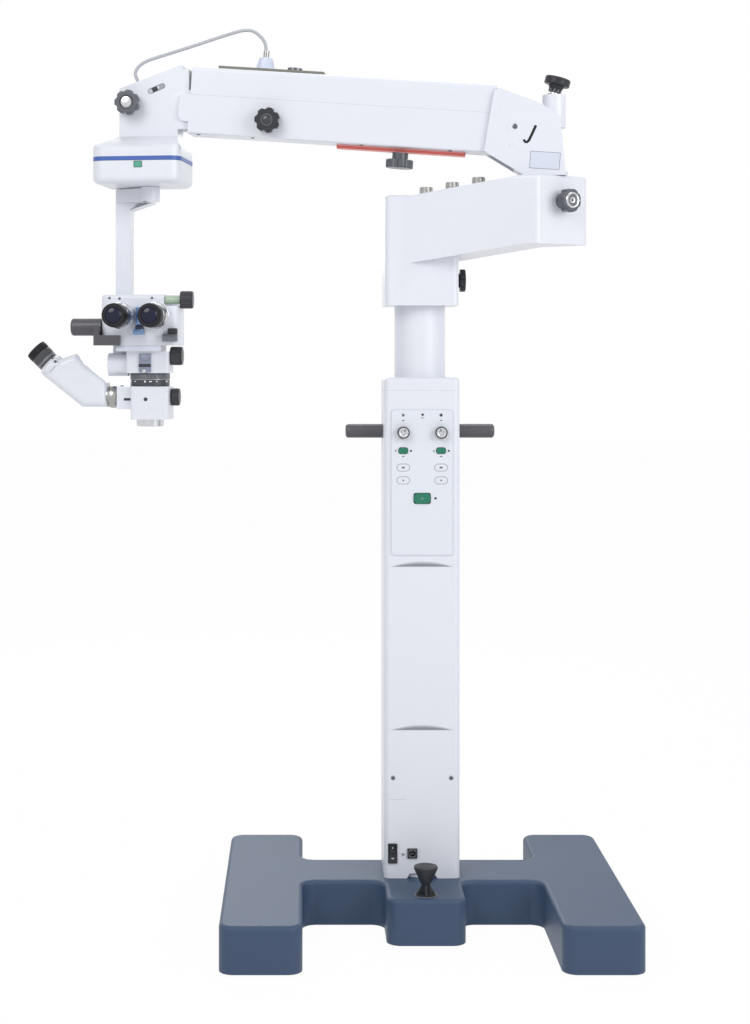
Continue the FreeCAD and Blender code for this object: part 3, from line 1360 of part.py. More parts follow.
def make_scope_body():
    body = new_body("scope_body", SCOPE)
    slab_low = s.head_low - s.slab_tall
    add(body, "XY", [rectangle(-s.slab_left, -s.head_face, s.slab_width - s.slab_left,
                               head_back)], slab_low, s.head_low)
    middle_low = s.ring_low + s.ring_tall + s.gap
    right = s.middle_width - s.middle_left
    add(body, "XY", [rectangle(-s.middle_left, -s.middle_front, right, head_back)],
        middle_low, slab_low)
    round_edges(body, s.head_corner / 2, lambda edge: upright(edge)
                and edge.BoundBox.ZMin < slab_low.number - SMALL)
    add(body, "XY", [circle(0, 0, s.core_radius)], s.ring_low - s.gap * 2, middle_low + s.gap)
    lower_right = s.lower_width - s.lower_left
    add(body, "XY", [rectangle(-s.lower_left, -s.lower_front, lower_right, s.lower_front)],
        s.lower_low, s.ring_low - s.gap)
    round_edges(body, s.head_corner / 2, lambda edge: upright(edge)
                and edge.BoundBox.ZMax < s.ring_low.number)
    add(body, "XZ", [rectangle(-s.box_left, s.box_low, -s.lower_left + s.gap,
                               s.ring_low - s.gap)], -s.box_half, s.box_half)
    add(body, "YZ", [circle(-s.lamp_back, s.lamp_up, s.lamp_radius)],
        -s.lamp_left, -s.middle_left + s.gap)
    add(body, "YZ", [circle(0, s.joint_up, s.joint_radius)],
        -s.box_left - s.joint_length, -s.box_left)
    plate_mid = s.focus_width / 2 - s.focus_left
    add(body, "XZ", [rectangle(plate_mid - s.rail_plate_half, s.head_low - s.slab_tall,
                               plate_mid + s.rail_plate_half, s.head_low + s.head_tall / 2)],
        head_back, s.focus_front - s.gap)
    bores = [(s.mid_knob_front, s.mid_knob_up, right), (as_size(0), s.low_knob_up, lower_right)]
    for forward, height, end in bores:
        cut(body, "YZ", [circle(-forward, height, s.scope_knob_stem + s.running)],
            end - s.scope_stem_length - s.gap, end)
    return body


def make_binocular_head():
    body = new_body("binocular_head", SCOPE.moved(z=s.head_low))
    left, right = -s.head_left, s.head_width - s.head_left
    add(body, "XY", [rectangle(left, -s.head_face, right, s.head_deep - s.head_face)],
        0, s.head_tall)
    round_edges(body, s.head_round, upright)
    round_edges(body, s.head_round / 2, level_at(s.head_tall))
    cut(body, "XY", [rectangle(right - s.notch_width, -s.head_face * 2, right * 2,
                               s.head_deep - s.head_face - s.head_round)],
        s.head_tall - s.notch_tall, s.head_tall)
    return body


def make_eyepiece(name, side):
    place = SCOPE.moved(s.eye_middle + side * s.eye_half, -s.head_face, s.eye_up).turned("X", 90)
    body = new_body(f"eyepiece_{name}", place)
    tube_end = s.eye_tube_length
    end = tube_end + s.eye_length + s.eye_cup
    revolve(body, [
        (0, s.gap),
        (s.eye_tube, s.gap),
        (s.eye_tube, tube_end * 0.8),
        (s.eye_radius, tube_end),
        (s.eye_radius, tube_end + s.eye_length),
        (s.eye_radius * 0.94, end),
        (s.eye_lens, end),
        (s.eye_lens, end - s.eye_lens_deep),
        (0, end - s.eye_lens_deep),
    ])
    return body


def make_zoom_ring():
    body = new_body("zoom_ring", SCOPE.moved(z=s.ring_low))
    add(body, "XY", [circle(0, 0, s.ring_radius)], 0, s.ring_tall)
    round_edges(body, s.ring_tall / 18, level_at(0))
    round_edges(body, s.ring_tall / 18, level_at(s.ring_tall))
    cut(body, "XY", [circle(0, 0, s.core_radius + s.running)], 0, s.ring_tall)
    return body


def make_objective_ring():
    body = new_body("objective_ring", SCOPE)
    revolve(body, [
        (0, s.objective_deep),
        (s.objective_bore, s.objective_deep),
        (s.objective_bore, 0),
        (s.objective_radius, 0),
        (s.objective_radius, s.lower_low),
        (0, s.lower_low),
    ])
    return body


def make_scope_grip():
    start = SCOPE.moved(-s.head_left, -s.scope_grip_front, s.scope_grip_up)
    body = new_body("scope_grip", start)
    far = -s.scope_grip_length
    add(body, "YZ", [circle(0, 0, s.scope_grip_radius)], far, 0)
    round_edges(body, s.scope_grip_radius / 3, side_at(far))
    drop = s.head_low - s.scope_grip_up
    left = s.head_left - s.step_left
    front = s.scope_grip_front - s.head_face
    clamp = rectangle(left, drop, left + s.step_width, drop + s.step_tall)
    add(body, "XZ", [clamp], front - s.step_deep, front)
    neck = rectangle(left, drop, 0, 0)
    add(body, "XZ", [neck], front - s.step_deep, -s.scope_grip_radius / 2)
    return body


def make_scope_knobs():
    right = s.head_width - s.head_left
    place = SCOPE.moved(right - s.notch_width, -s.tilt_front, s.tilt_up).turned("Y", 90)
    tilt = new_body("tilt_knob", place)
    add(tilt, "XY", [circle(0, 0, s.tilt_shaft)], s.gap, s.notch_width + s.gap)
    high = s.notch_width + s.tilt_length
    add(tilt, "XY", [circle(0, 0, s.tilt_radius)], s.notch_width + s.gap, high)
    round_edges(tilt, s.tilt_radius / 10, level_at(high))
    middle_right = s.middle_width - s.middle_left
    place = SCOPE.moved(middle_right, -s.mid_knob_front, s.mid_knob_up).turned("Y", 90)
    round_knob("magnification_knob", place, s.mid_knob_radius, s.mid_knob_length,
               s.scope_knob_stem, s.scope_stem_length)
    place = SCOPE.moved(s.lower_width - s.lower_left, 0, s.low_knob_up).turned("Y", 90)
    round_knob("filter_knob", place, s.low_knob_radius, s.low_knob_length,
               s.scope_knob_stem, s.scope_stem_length)


# Assistant scope: a bent tube on a side coupling, its frame at the coupling's end

ASSIST = SCOPE.moved(-s.box_left - s.joint_length, 0, s.joint_up)


def assist_axis():
    """The middle of the tube's oblique end, its local Z along the eyepiece."""
    reach = s.assist_half * 4
    return ASSIST.moved(-reach, 0, s.assist_half * 2.1).turned("Y", -45)


def make_assistant():
    tube = new_body("assistant_tube", ASSIST)
    half = s.assist_half
    far = half * 4
    collar = s.assist_collar
    tip_up = half * 2.1
    diagonal = cosine(45)
    profile = polygon(
        (-s.gap, -s.joint_radius),
        (-half * 1.8, -s.joint_radius),
        (-far - collar * diagonal, tip_up - collar * diagonal),
        (-far + collar * diagonal, tip_up + collar * diagonal),
        (-half * 2.2, half * 3.1),
        (-half * 1.6, half * 2.3),
        (-s.gap, half),
    )
    add(tube, "XZ", [profile], -half, half)
    round_edges(tube, s.assist_edge, lambda edge: face_at(half)(edge) or face_at(-half)(edge))
    neck = new_body("assistant_eyepiece", assist_axis())
    start = s.assist_collar_length
    end = start + s.assist_eye_length
    revolve(neck, [
        (0, s.gap),
        (s.assist_collar * 0.8, s.gap),
        (s.assist_collar * 0.8, start),
        (s.assist_eye_radius, start),
        (s.assist_eye_radius, end),
        (s.eye_lens, end),
        (s.eye_lens, end - s.eye_lens_deep),
        (0, end - s.eye_lens_deep),
    ])


# Cable from the boss on the arm to the hole in the knuckle

CABLE_POINTS = [
    (-317.677, -37.131, 1765.664),
    (-315.344, -37.438, 1795.571),
    (-336.782, -34.616, 1819.878),
    (-354.535, -32.279, 1825.475),
    (-378.241, -29.158, 1822.481),
    (-485.404, -15.049, 1789.153),
    (-548.888, -6.692, 1771.292),
    (-573.639, -3.433, 1762.541),
    (-588.559, -1.469, 1748.103),
    (-590.340, -1.234, 1732.234),
    (-569.281, -4.007, 1699.526),
]


def make_cable():
    """Straight runs joined by arcs as large as the runs allow, and a round section."""
    points = [FreeCAD.Vector(*spot) for spot in CABLE_POINTS]
    edges = []
    start = points[0]
    for before, corner, after in zip(points, points[1:], points[2:]):
        run_in, run_out = corner - before, after - corner
        turn = run_in.getAngle(run_out)
        setback = 0.45 * min(run_in.Length, run_out.Length)
        print("cable bend radius", round(setback / math.tan(turn / 2), 1))
        run_in.normalize()
        run_out.normalize()
        first = corner - run_in * setback
        last = corner + run_out * setback
        radius = setback / math.tan(turn / 2)
        inward = run_out - run_in
        inward.normalize()
        centre = corner + inward * (radius / math.cos(turn / 2))
        middle = centre - inward * radius
        edges.append(Part.LineSegment(start, first).toShape())
        edges.append(Part.Arc(first, middle, last).toShape())
        start = last
    edges.append(Part.LineSegment(start, points[-1]).toShape())
    wire = Part.Wire(edges)
    section = Part.Wire([Part.Circle(points[0], points[1] - points[0],
                                     s.cord_radius.number).toShape()])
    tube = wire.makePipeShell([section], True, False)
    ideal = math.pi * s.cord_radius.number ** 2 * wire.Length
    print("cable length", round(wire.Length, 1), "volume ratio", round(tube.Volume / ideal, 4))
    cable = doc.addObject("Part::Feature", "cable")
    cable.Label = "cable"
    cable.Shape = tube
    cable.Placement = FreeCAD.Placement()
    solids.append(cable)


def build():
    make_base_shell()
    make_floor_feet()
    make_brake_pedal()
    for caster in CASTERS:
        make_caster(*caster)
    make_column_shell()
    make_column_cap()
    make_column_tube()
    make_control_panel()
    make_dial("left", -1)
    make_dial("right", 1)
    make_switches()
    make_side_grips()
    make_connectors()
    make_head_housing()
    make_cap_screws()
    lobed_knob("head_lock_knob", head_knob_place(HEAD), s.lock_radius, s.lock_depth,
               s.lock_stem, s.lock_stem_length)
    lobed_knob("pivot_lock_knob", facet_place(HEAD), s.lock_radius, s.pivot_knob_depth,
               s.lock_stem, s.lock_stem_length, 8)
    make_rear_bracket()
    make_rear_pins()
    make_balance_knob()
    make_arm_beam()
    make_arm_link()
    make_arm_covers()
    make_arm_fittings()
    make_knuckle_housing()
    make_front_pins()
    knob = KNUCKLE.moved(-s.knuckle_knob_at, -s.knuckle_half, s.knuckle_knob_up).turned("X", 90)
    lobed_knob("knuckle_knob", knob, s.side_knob_radius, s.knuckle_knob_depth,
               s.lock_stem, s.lock_stem_length)
    make_cross_table()
    make_carrier()
    make_focus_unit()
    make_scope_body()
    make_binocular_head()
    make_eyepiece("left", -1)
    make_eyepiece("right", 1)
    make_zoom_ring()
    make_objective_ring()
    make_scope_grip()
    make_scope_knobs()
    make_assistant()
    make_cable()


def check():
    """Stops before anything is written if a feature failed or a cut removed nothing."""
    doc.recompute()
    faults = []
    for thing in doc.Objects:
        if "Invalid" in thing.State or "Error" in thing.State:
            faults.append(f"{thing.Label} failed")
    for solid in solids:
        if solid.Shape.isNull() or not solid.Shape.isValid() or not solid.Shape.Solids:
            faults.append(f"{solid.Label} has no valid solid")
        before = 0.0
        for feature in getattr(solid, "Group", []):
            if feature.TypeId in ("PartDesign::Pad", "PartDesign::Pocket"):
                volume = feature.Shape.Volume
                if abs(volume - before) < SMALL:
                    faults.append(f"{feature.Label} changed nothing")
            if feature.TypeId.startswith("PartDesign"):
                before = feature.Shape.Volume
    if faults:
        raise RuntimeError("; ".join(faults))


def export():
    os.makedirs("parts", exist_ok=True)
    for solid in solids:
        solid.Shape.exportStep(f"parts/{solid.Label}.step")
    print(len(solids), "parts written")


build()
check()
export()
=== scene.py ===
# Looks and small pieces for the surgical microscope, over the CAD nodes of the frame

import json
import math

import bmesh
import bpy
from mathutils import Matrix, Vector


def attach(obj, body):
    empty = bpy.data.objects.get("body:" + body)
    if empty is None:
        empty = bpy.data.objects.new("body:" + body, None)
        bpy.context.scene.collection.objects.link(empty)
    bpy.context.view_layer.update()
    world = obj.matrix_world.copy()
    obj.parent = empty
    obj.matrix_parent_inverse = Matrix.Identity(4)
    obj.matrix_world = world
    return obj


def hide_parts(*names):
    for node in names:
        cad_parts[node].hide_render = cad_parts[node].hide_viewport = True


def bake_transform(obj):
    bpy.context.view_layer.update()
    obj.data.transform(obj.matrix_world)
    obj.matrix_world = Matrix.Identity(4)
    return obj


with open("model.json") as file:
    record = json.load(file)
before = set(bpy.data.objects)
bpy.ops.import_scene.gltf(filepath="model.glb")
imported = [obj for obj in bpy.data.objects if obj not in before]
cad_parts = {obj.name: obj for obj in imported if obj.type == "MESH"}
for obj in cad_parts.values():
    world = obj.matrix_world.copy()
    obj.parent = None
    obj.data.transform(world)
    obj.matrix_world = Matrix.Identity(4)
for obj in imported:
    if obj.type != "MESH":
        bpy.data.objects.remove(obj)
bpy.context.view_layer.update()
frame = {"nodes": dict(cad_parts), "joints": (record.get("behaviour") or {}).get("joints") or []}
nodes = frame["nodes"]
joints = {joint["name"]: joint for joint in frame["joints"]}

MM = 0.001
SEGMENTS = 48


# Camera at the photograph's viewing angle

CAMERA_PLACE = (-0.242, -3.788, 1.167)
CAMERA_LENS = 64.25
CAMERA_SHIFT = (0.0703, -0.158)


def make_camera():
    data = bpy.data.cameras.new("camera")
    data.lens = CAMERA_LENS
    data.shift_x, data.shift_y = CAMERA_SHIFT
    camera = bpy.data.objects.new("camera", data)
    camera.location = CAMERA_PLACE
    camera.rotation_euler = (math.radians(90), 0, 0)
    bpy.context.scene.collection.objects.link(camera)
    bpy.context.scene.camera = camera


# Light, floor and background

WORLD_LEVEL = 0.62
# Each lamp: name, place, aim, width and power
LAMPS = [
    ("key", (-2.2, -3.0, 3.4), (0, 0, 1.1), 2.4, 56),
    ("fill", (2.6, -2.6, 2.2), (0, 0, 1.0), 2.4, 52),
    ("top", (0.2, 0.6, 4.2), (0, 0, 1.0), 2.0, 20),
    ("back", (-0.6, 3.6, 2.6), (0, 0, 1.0), 2.4, 34),
]
FLOOR_SIZE = 40
FLOOR_TONE = (0.9, 0.9, 0.91, 1)
FLOOR_GLOW_SHARE = 0.97


def link(tree, output, socket):
    tree.links.new(output, socket)


def seen_share(tree):
    """1 for what the camera, a gloss or a glass sees, 0 for the light on the object."""
    path = tree.nodes.new("ShaderNodeLightPath")
    first = tree.nodes.new("ShaderNodeMath")
    first.operation = "MAXIMUM"
    link(tree, path.outputs["Is Camera Ray"], first.inputs[0])
    link(tree, path.outputs["Is Glossy Ray"], first.inputs[1])
    second = tree.nodes.new("ShaderNodeMath")
    second.operation = "MAXIMUM"
    link(tree, first.outputs[0], second.inputs[0])
    link(tree, path.outputs["Is Transmission Ray"], second.inputs[1])
    return second.outputs[0]


def make_world():
    world = bpy.data.worlds.new("world")
    bpy.context.scene.world = world
    world.use_nodes = True
    tree = world.node_tree
    background = tree.nodes["Background"]
    background.inputs["Color"].default_value = (1, 1, 1, 1)
    level = tree.nodes.new("ShaderNodeMapRange")
    level.inputs["To Min"].default_value = WORLD_LEVEL
    level.inputs["To Max"].default_value = 1.0
    link(tree, seen_share(tree), level.inputs["Value"])
    link(tree, level.outputs["Result"], background.inputs["Strength"])


def make_lamps():
    for name, place, target, size, watts in LAMPS:
        data = bpy.data.lights.new(name, "AREA")
        data.shape = "DISK"
        data.size = size
        data.energy = watts
        lamp = bpy.data.objects.new(name, data)
        lamp.location = place
        aim = Vector(target) - Vector(place)
        lamp.rotation_euler = aim.to_track_quat("-Z", "Y").to_euler()
        bpy.context.scene.collection.objects.link(lamp)


def make_floor():
    """A ground that looks as white as the world and still takes a faint shade."""
    mesh = bpy.data.meshes.new("floor")
    half = FLOOR_SIZE / 2
    corners = [(-half, -half, 0), (half, -half, 0), (half, half, 0), (-half, half, 0)]
    mesh.from_pydata(corners, [], [(0, 1, 2, 3)])
    floor = bpy.data.objects.new("floor", mesh)
    bpy.context.scene.collection.objects.link(floor)
    material = bpy.data.materials.new("floor")
    material.use_nodes = True
    tree = material.node_tree
    tree.nodes.remove(tree.nodes["Principled BSDF"])
    diffuse = tree.nodes.new("ShaderNodeBsdfDiffuse")
    diffuse.inputs["Color"].default_value = FLOOR_TONE
    glow = tree.nodes.new("ShaderNodeEmission")
    glow.inputs["Strength"].default_value = 1.0
    share = tree.nodes.new("ShaderNodeMath")
    share.operation = "MULTIPLY"
    share.inputs[1].default_value = FLOOR_GLOW_SHARE
    link(tree, seen_share(tree), share.inputs[0])
    mix = tree.nodes.new("ShaderNodeMixShader")
    link(tree, share.outputs[0], mix.inputs["Fac"])
    link(tree, diffuse.outputs[0], mix.inputs[1])
    link(tree, glow.outputs[0], mix.inputs[2])
    link(tree, mix.outputs[0], tree.nodes["Material Output"].inputs["Surface"])
    mesh.materials.append(material)


# Materials, made from nodes

MIX_A, MIX_B, MIX_RESULT = 6, 7, 2
COAT_ROUGHNESS = 0.12
BLOTCH_SCALE, BLOTCH_DETAIL, GRAIN_DETAIL = 9.0, 3, 2
WORN_FROM, WORN_TO = 0.52, 0.62
WORN_KEEP, WORN_LIFT = 0.5, 0.3
BUMP_DISTANCE = 0.0005


def linear(colour):
    """A colour as it looks on a screen, 0 to 255, as a shader wants it."""
    values = []
    for value in colour:
        share = value / 255
        values.append(share / 12.92 if share <= 0.04045 else ((share + 0.055) / 1.055) ** 2.4)
    return values


def noise(tree, scale, detail):
    texture = tree.nodes.new("ShaderNodeTexNoise")
    texture.inputs["Scale"].default_value = scale
    texture.inputs["Detail"].default_value = detail
    return texture


def finish_for(name, colour, roughness, metallic=0.0, coat=0.0, grain=600.0, grain_depth=0.02,
               blotch_share=0.03, rough_share=0.08, brushed=None, wear=0.0, specular=0.5):
    """A surface with its own grain, a slow change of tone and a gloss that varies."""
    base = linear(colour)
    material = bpy.data.materials.new(name)
    material.use_nodes = True
    tree = material.node_tree
    shader = tree.nodes["Principled BSDF"]
    shader.inputs["Metallic"].default_value = metallic
    shader.inputs["Coat Weight"].default_value = coat
    shader.inputs["Coat Roughness"].default_value = COAT_ROUGHNESS
    shader.inputs["Specular IOR Level"].default_value = specular
    place = tree.nodes.new("ShaderNodeTexCoord")
    slow = noise(tree, BLOTCH_SCALE, BLOTCH_DETAIL)
    link(tree, place.outputs["Object"], slow.inputs["Vector"])
    tone = tree.nodes.new("ShaderNodeMix")
    tone.data_type = "RGBA"
    tone.inputs[MIX_A].default_value = [*(c * (1 - blotch_share) for c in base), 1]
    tone.inputs[MIX_B].default_value = [*(min(1, c * (1 + blotch_share)) for c in base), 1]
    link(tree, slow.outputs["Fac"], tone.inputs[0])
    shown = tone.outputs[MIX_RESULT]
    if wear:
        edges = tree.nodes.new("ShaderNodeNewGeometry")
        ramp = tree.nodes.new("ShaderNodeMapRange")
        ramp.inputs["From Min"].default_value = WORN_FROM
        ramp.inputs["From Max"].default_value = WORN_TO
        ramp.inputs["To Max"].default_value = wear
        link(tree, edges.outputs["Pointiness"], ramp.inputs["Value"])
        light = tree.nodes.new("ShaderNodeMix")
        light.data_type = "RGBA"
        light.inputs[MIX_B].default_value = [*(c * WORN_KEEP + WORN_LIFT for c in base), 1]
        link(tree, ramp.outputs["Result"], light.inputs[0])
        link(tree, shown, light.inputs[MIX_A])
        shown = light.outputs[MIX_RESULT]
    link(tree, shown, shader.inputs["Base Color"])
    fine = noise(tree, grain, GRAIN_DETAIL)
    if brushed:
        stretch = tree.nodes.new("ShaderNodeMapping")
        stretch.inputs["Scale"].default_value = brushed
        link(tree, place.outputs["Object"], stretch.inputs["Vector"])
        link(tree, stretch.outputs["Vector"], fine.inputs["Vector"])
    else:
        link(tree, place.outputs["Object"], fine.inputs["Vector"])
    gloss = tree.nodes.new("ShaderNodeMapRange")
    gloss.inputs["To Min"].default_value = roughness - rough_share
    gloss.inputs["To Max"].default_value = roughness + rough_share
    link(tree, fine.outputs["Fac"], gloss.inputs["Value"])
    link(tree, gloss.outputs["Result"], shader.inputs["Roughness"])
    bump = tree.nodes.new("ShaderNodeBump")
    bump.inputs["Strength"].default_value = grain_depth
    bump.inputs["Distance"].default_value = BUMP_DISTANCE
    link(tree, fine.outputs["Fac"], bump.inputs["Height"])
    link(tree, bump.outputs["Normal"], shader.inputs["Normal"])
    return material


WHITE = finish_for("white_enamel", (218, 221, 229), 0.36, coat=0.15, blotch_share=0.012)
WHITE_SATIN = finish_for("white_satin", (215, 218, 226), 0.5, blotch_share=0.012)
PANEL = finish_for("panel_film", (216, 220, 228), 0.42, grain=1500, blotch_share=0.008)
BASE_BLUE = finish_for("blue_grey_enamel", (60, 78, 104), 0.46, grain=450,
                       grain_depth=0.06, blotch_share=0.06, wear=0.06, specular=0.3)
BLACK = finish_for("black_plastic", (46, 47, 53), 0.36, grain=900, grain_depth=0.12,
                   blotch_share=0.12, wear=0.12, specular=0.25)
RUBBER = finish_for("black_rubber", (30, 30, 34), 0.5, grain=1400, grain_depth=0.3,
                    blotch_share=0.15, specular=0.2)
LINE = finish_for("dark_line", (48, 50, 56), 0.6)
GREY_PRINT = finish_for("grey_print", (92, 96, 106), 0.6)
GREEN = finish_for("green_plastic", (14, 112, 86), 0.34, coat=0.1, grain_depth=0.01)
BLUE = finish_for("blue_plastic", (58, 92, 168), 0.4, coat=0.1)
RED = finish_for("red_plastic", (222, 98, 90), 0.3, coat=0.3, blotch_share=0.05)
STEEL = finish_for("turned_steel", (168, 169, 166), 0.3, metallic=1.0, grain=60,
                   grain_depth=0.05, brushed=(1, 1, 60), blotch_share=0.05)
BRIGHT = finish_for("bright_steel", (205, 207, 210), 0.2, metallic=1.0, grain=90, grain_depth=0.03)
PLATE = finish_for("plate_metal", (116, 116, 108), 0.45, metallic=0.3, grain=300,
                   brushed=(1, 30, 30), grain_depth=0.05)
BARREL = finish_for("dark_barrel", (50, 52, 62), 0.35, coat=0.3, grain=1200,
                    grain_depth=0.05, wear=0.3)
LENS = finish_for("coated_lens", (14, 17, 46), 0.09, grain_depth=0.0,
                  rough_share=0.02, specular=0.35)
DARK_HOLE = finish_for("dark_hole", (22, 22, 26), 0.8)
GREY_PALE = finish_for("pale_line", (186, 190, 200), 0.5)
GREEN_DARK = finish_for("green_rim", (18, 84, 64), 0.35, coat=0.3)
GREEN_GLASS = finish_for("green_window", (72, 158, 132), 0.12, coat=0.8, grain_depth=0.01)
GREEN_GREY = finish_for("green_grey_shaft", (168, 188, 166), 0.35, coat=0.3)
CAP_GREY = finish_for("dial_cap", (196, 198, 202), 0.28, metallic=0.5, grain=200, grain_depth=0.03)
DARK_STEEL = finish_for("dark_steel", (104, 106, 112), 0.3, metallic=0.9, grain=200,
                        grain_depth=0.04)
GREY_METAL = finish_for("grey_metal", (118, 120, 128), 0.38, metallic=0.4, grain=400,
                        grain_depth=0.05)
BLACK_GLOSS = finish_for("black_gloss", (38, 39, 44), 0.2, coat=0.5, grain_depth=0.01)
PEDAL_GREY = finish_for("pedal_rubber", (58, 58, 62), 0.5, grain=1200, grain_depth=0.15,
                        blotch_share=0.12)
PLATE_PALE = finish_for("bare_plate", (206, 212, 226), 0.34, metallic=0.3, grain=300,
                        brushed=(1, 40, 40), grain_depth=0.03)
BOSS_BLUE = finish_for("boss_plastic", (205, 213, 232), 0.4, coat=0.2)
BLUE_METAL = finish_for("blue_metal", (116, 146, 190), 0.25, metallic=0.4, coat=0.5,
                        blotch_share=0.1)
SLATE = finish_for("slate_metal", (138, 144, 164), 0.32, metallic=0.4)
NAVY = finish_for("navy_plastic", (34, 44, 78), 0.3, coat=0.4)
COOL_WHITE = finish_for("cool_white", (212, 218, 232), 0.4, coat=0.2)
SLOT_GREY = finish_for("slot_grey", (150, 152, 158), 0.5)
CABLE_GREY = finish_for("cable_grey", (176, 178, 186), 0.42, coat=0.1, grain=900, grain_depth=0.08)
GRIP_GREY = finish_for("grip_grey", (74, 74, 80), 0.4, coat=0.2, grain=1000, grain_depth=0.12)
KNOB_GREY = finish_for("knob_grey", (76, 79, 88), 0.34, coat=0.2, grain=900,
                       grain_depth=0.1, wear=0.1)
# Pale red of the painted highlights along the red rail's edges
RAIL_HIGHLIGHT = finish_for("painted_rail_highlight", (236, 176, 168), 0.35, coat=0.2)
SEAM_GREY = finish_for("seam_grey", (196, 199, 207), 0.5)

# A node takes the look of the longest key that its name starts with, or else white enamel
LOOKS = {
    "base_shell": BASE_BLUE, "floor_feet": RUBBER, "brake_pedal": BLACK, "control_panel": PANEL,
    "dial": BLACK_GLOSS, "rocker": GREEN, "main_switch": GREEN, "mains_rocker": BLACK,
    "side_grips": GRIP_GREY, "connectors": BLACK, "caster_fork": STEEL, "caster_wheel": RUBBER,
    "cap_screws": STEEL, "head_lock_knob": BLACK, "pivot_lock_knob": KNOB_GREY,
    "balance_knob": BLACK, "arm_beam": WHITE_SATIN, "arm_link": WHITE_SATIN,
    "arm_top_plate": PLATE, "cable_boss": BOSS_BLUE, "red_rail": RED, "side_knob": BLACK,
    "under_knob": KNOB_GREY, "front_pins": WHITE_SATIN, "knuckle_knob": KNOB_GREY,
    "blue_band": BLUE, "x_stage": STEEL, "eyepiece": BARREL, "zoom_ring": BARREL,
    "objective_ring": BRIGHT, "scope_grip": GRIP_GREY, "tilt_knob": BLACK,
    "magnification_knob": BLACK, "filter_knob": BLACK, "assistant_eyepiece": BARREL,
    "cable": CABLE_GREY,
}
EDGE = 0.0006
CAST_SHAPES = ("assistant_tube", "knuckle_housing")
WELD_DISTANCE = 0.00002
FLAT_ANGLE = math.radians(0.4)
EDGE_ANGLE = math.radians(40)


def dress_nodes():
    """Each CAD node gets its finish, soft edges and a smooth shade."""
    for name, node in nodes.items():
        found = [key for key in LOOKS if name == key or name.startswith(key + "_")]
        look = LOOKS[max(found, key=len)] if found else WHITE
        node.data.materials.clear()
        node.data.materials.append(look)
        for polygon in node.data.polygons:
            polygon.use_smooth = True
        weld = node.modifiers.new("weld", "WELD")
        weld.merge_threshold = WELD_DISTANCE
        flat = node.modifiers.new("flat", "DECIMATE")
        flat.decimate_type = "DISSOLVE"
        flat.angle_limit = FLAT_ANGLE
        flat.delimit = {"MATERIAL"}
        bevel = node.modifiers.new("edges", "BEVEL")
        bevel.width = EDGE / 4 if name in CAST_SHAPES else EDGE
        bevel.segments = 2
        bevel.limit_method = "ANGLE"
        bevel.angle_limit = EDGE_ANGLE
        normal = node.modifiers.new("shade", "WEIGHTED_NORMAL")
        normal.keep_sharp = True


# Frames of the moving groups, in metres, from the joints and the angles at rest

def at_joint(name, yaw=0.0, pitch=0.0):
    return (Matrix.Translation(Vector(joints[name]["pos_m"]))
            @ Matrix.Rotation(math.radians(yaw), 4, "Z")
            @ Matrix.Rotation(math.radians(pitch), 4, "Y"))


HEAD_YAW = -24.1
ARM_YAW = -7.5
ARM_PITCH = 4.5
SCOPE_YAW = -4.5
SCOPE_DROP = 0.496
ASSIST_LEFT, ASSIST_UP = 0.087, 0.061
STAND = Matrix.Identity(4)
HEAD = at_joint("head_swing", HEAD_YAW)
BRACKET = at_joint("bracket_swing", ARM_YAW)
ARM = at_joint("arm_pitch", ARM_YAW, ARM_PITCH)
KNUCKLE = at_joint("knuckle_level", ARM_YAW)
CARRIER = at_joint("carrier_swing", SCOPE_YAW)
SCOPE = CARRIER @ Matrix.Translation((0, 0, -SCOPE_DROP))
ASSIST = SCOPE @ Matrix.Translation((-ASSIST_LEFT, 0, ASSIST_UP))


def spot(matrix, x=0.0, y=0.0, z=0.0, turn=None, angle=0.0):
    """A frame at a place, in millimetres, in another frame; turn names the axis of a turn."""
    moved = matrix @ Matrix.Translation((x * MM, y * MM, z * MM))
    return moved @ Matrix.Rotation(math.radians(angle), 4, turn) if turn else moved


# Mesh pieces: outlines and profiles in millimetres, in a frame of their own

BEVEL_ANGLE = math.radians(35)
SHARP_ANGLE = math.radians(38)
CORNER_STEPS, END_STEPS = 8, 6
LARGE, SMALL = 56, 28  # steps round a turned piece
KNURL_INSIDE = 0.97
SUNK = -0.05
HAIR = 0.01


def turned_by(matrix, degrees):
    """A frame turned about its own Z."""
    return matrix @ Matrix.Rotation(math.radians(degrees), 4, "Z")


def on_face(matrix, x, y, z):
    """A frame on a front face: local X to the right, local Y up, local Z towards the viewer."""
    return spot(matrix, x, y, z, "X", 90)


def out_of(name):
    """A hand knob's own frame, its local Z out along the knob's axis."""
    joint = joints[name + "_turn"]
    turn = Vector(joint["axis"]).to_track_quat("Z", "Y").to_matrix().to_4x4()
    return Matrix.Translation(Vector(joint["pos_m"])) @ turn


def settle(name, mesh_data, matrix, body, look, soften=0.0):
    """Makes the piece from a bmesh in millimetres and lets it ride on a body."""
    bmesh.ops.recalc_face_normals(mesh_data, faces=mesh_data.faces)
    if soften:
        sharp = [edge for edge in mesh_data.edges
                 if len(edge.link_faces) == 2 and edge.calc_face_angle(0) > BEVEL_ANGLE]
        bmesh.ops.bevel(mesh_data, geom=sharp, offset=soften, segments=2, profile=0.5,
                        affect="EDGES", clamp_overlap=True)
    mesh = bpy.data.meshes.new(name)
    mesh_data.to_mesh(mesh)
    mesh_data.free()
    mesh.transform(matrix @ Matrix.Diagonal((MM, MM, MM, 1)))
    for polygon in mesh.polygons:
        polygon.use_smooth = True
    mesh.set_sharp_from_angle(angle=SHARP_ANGLE)
    mesh.materials.append(look)
    piece = bpy.data.objects.new(name, mesh)
    bpy.context.scene.collection.objects.link(piece)
    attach(piece, body)


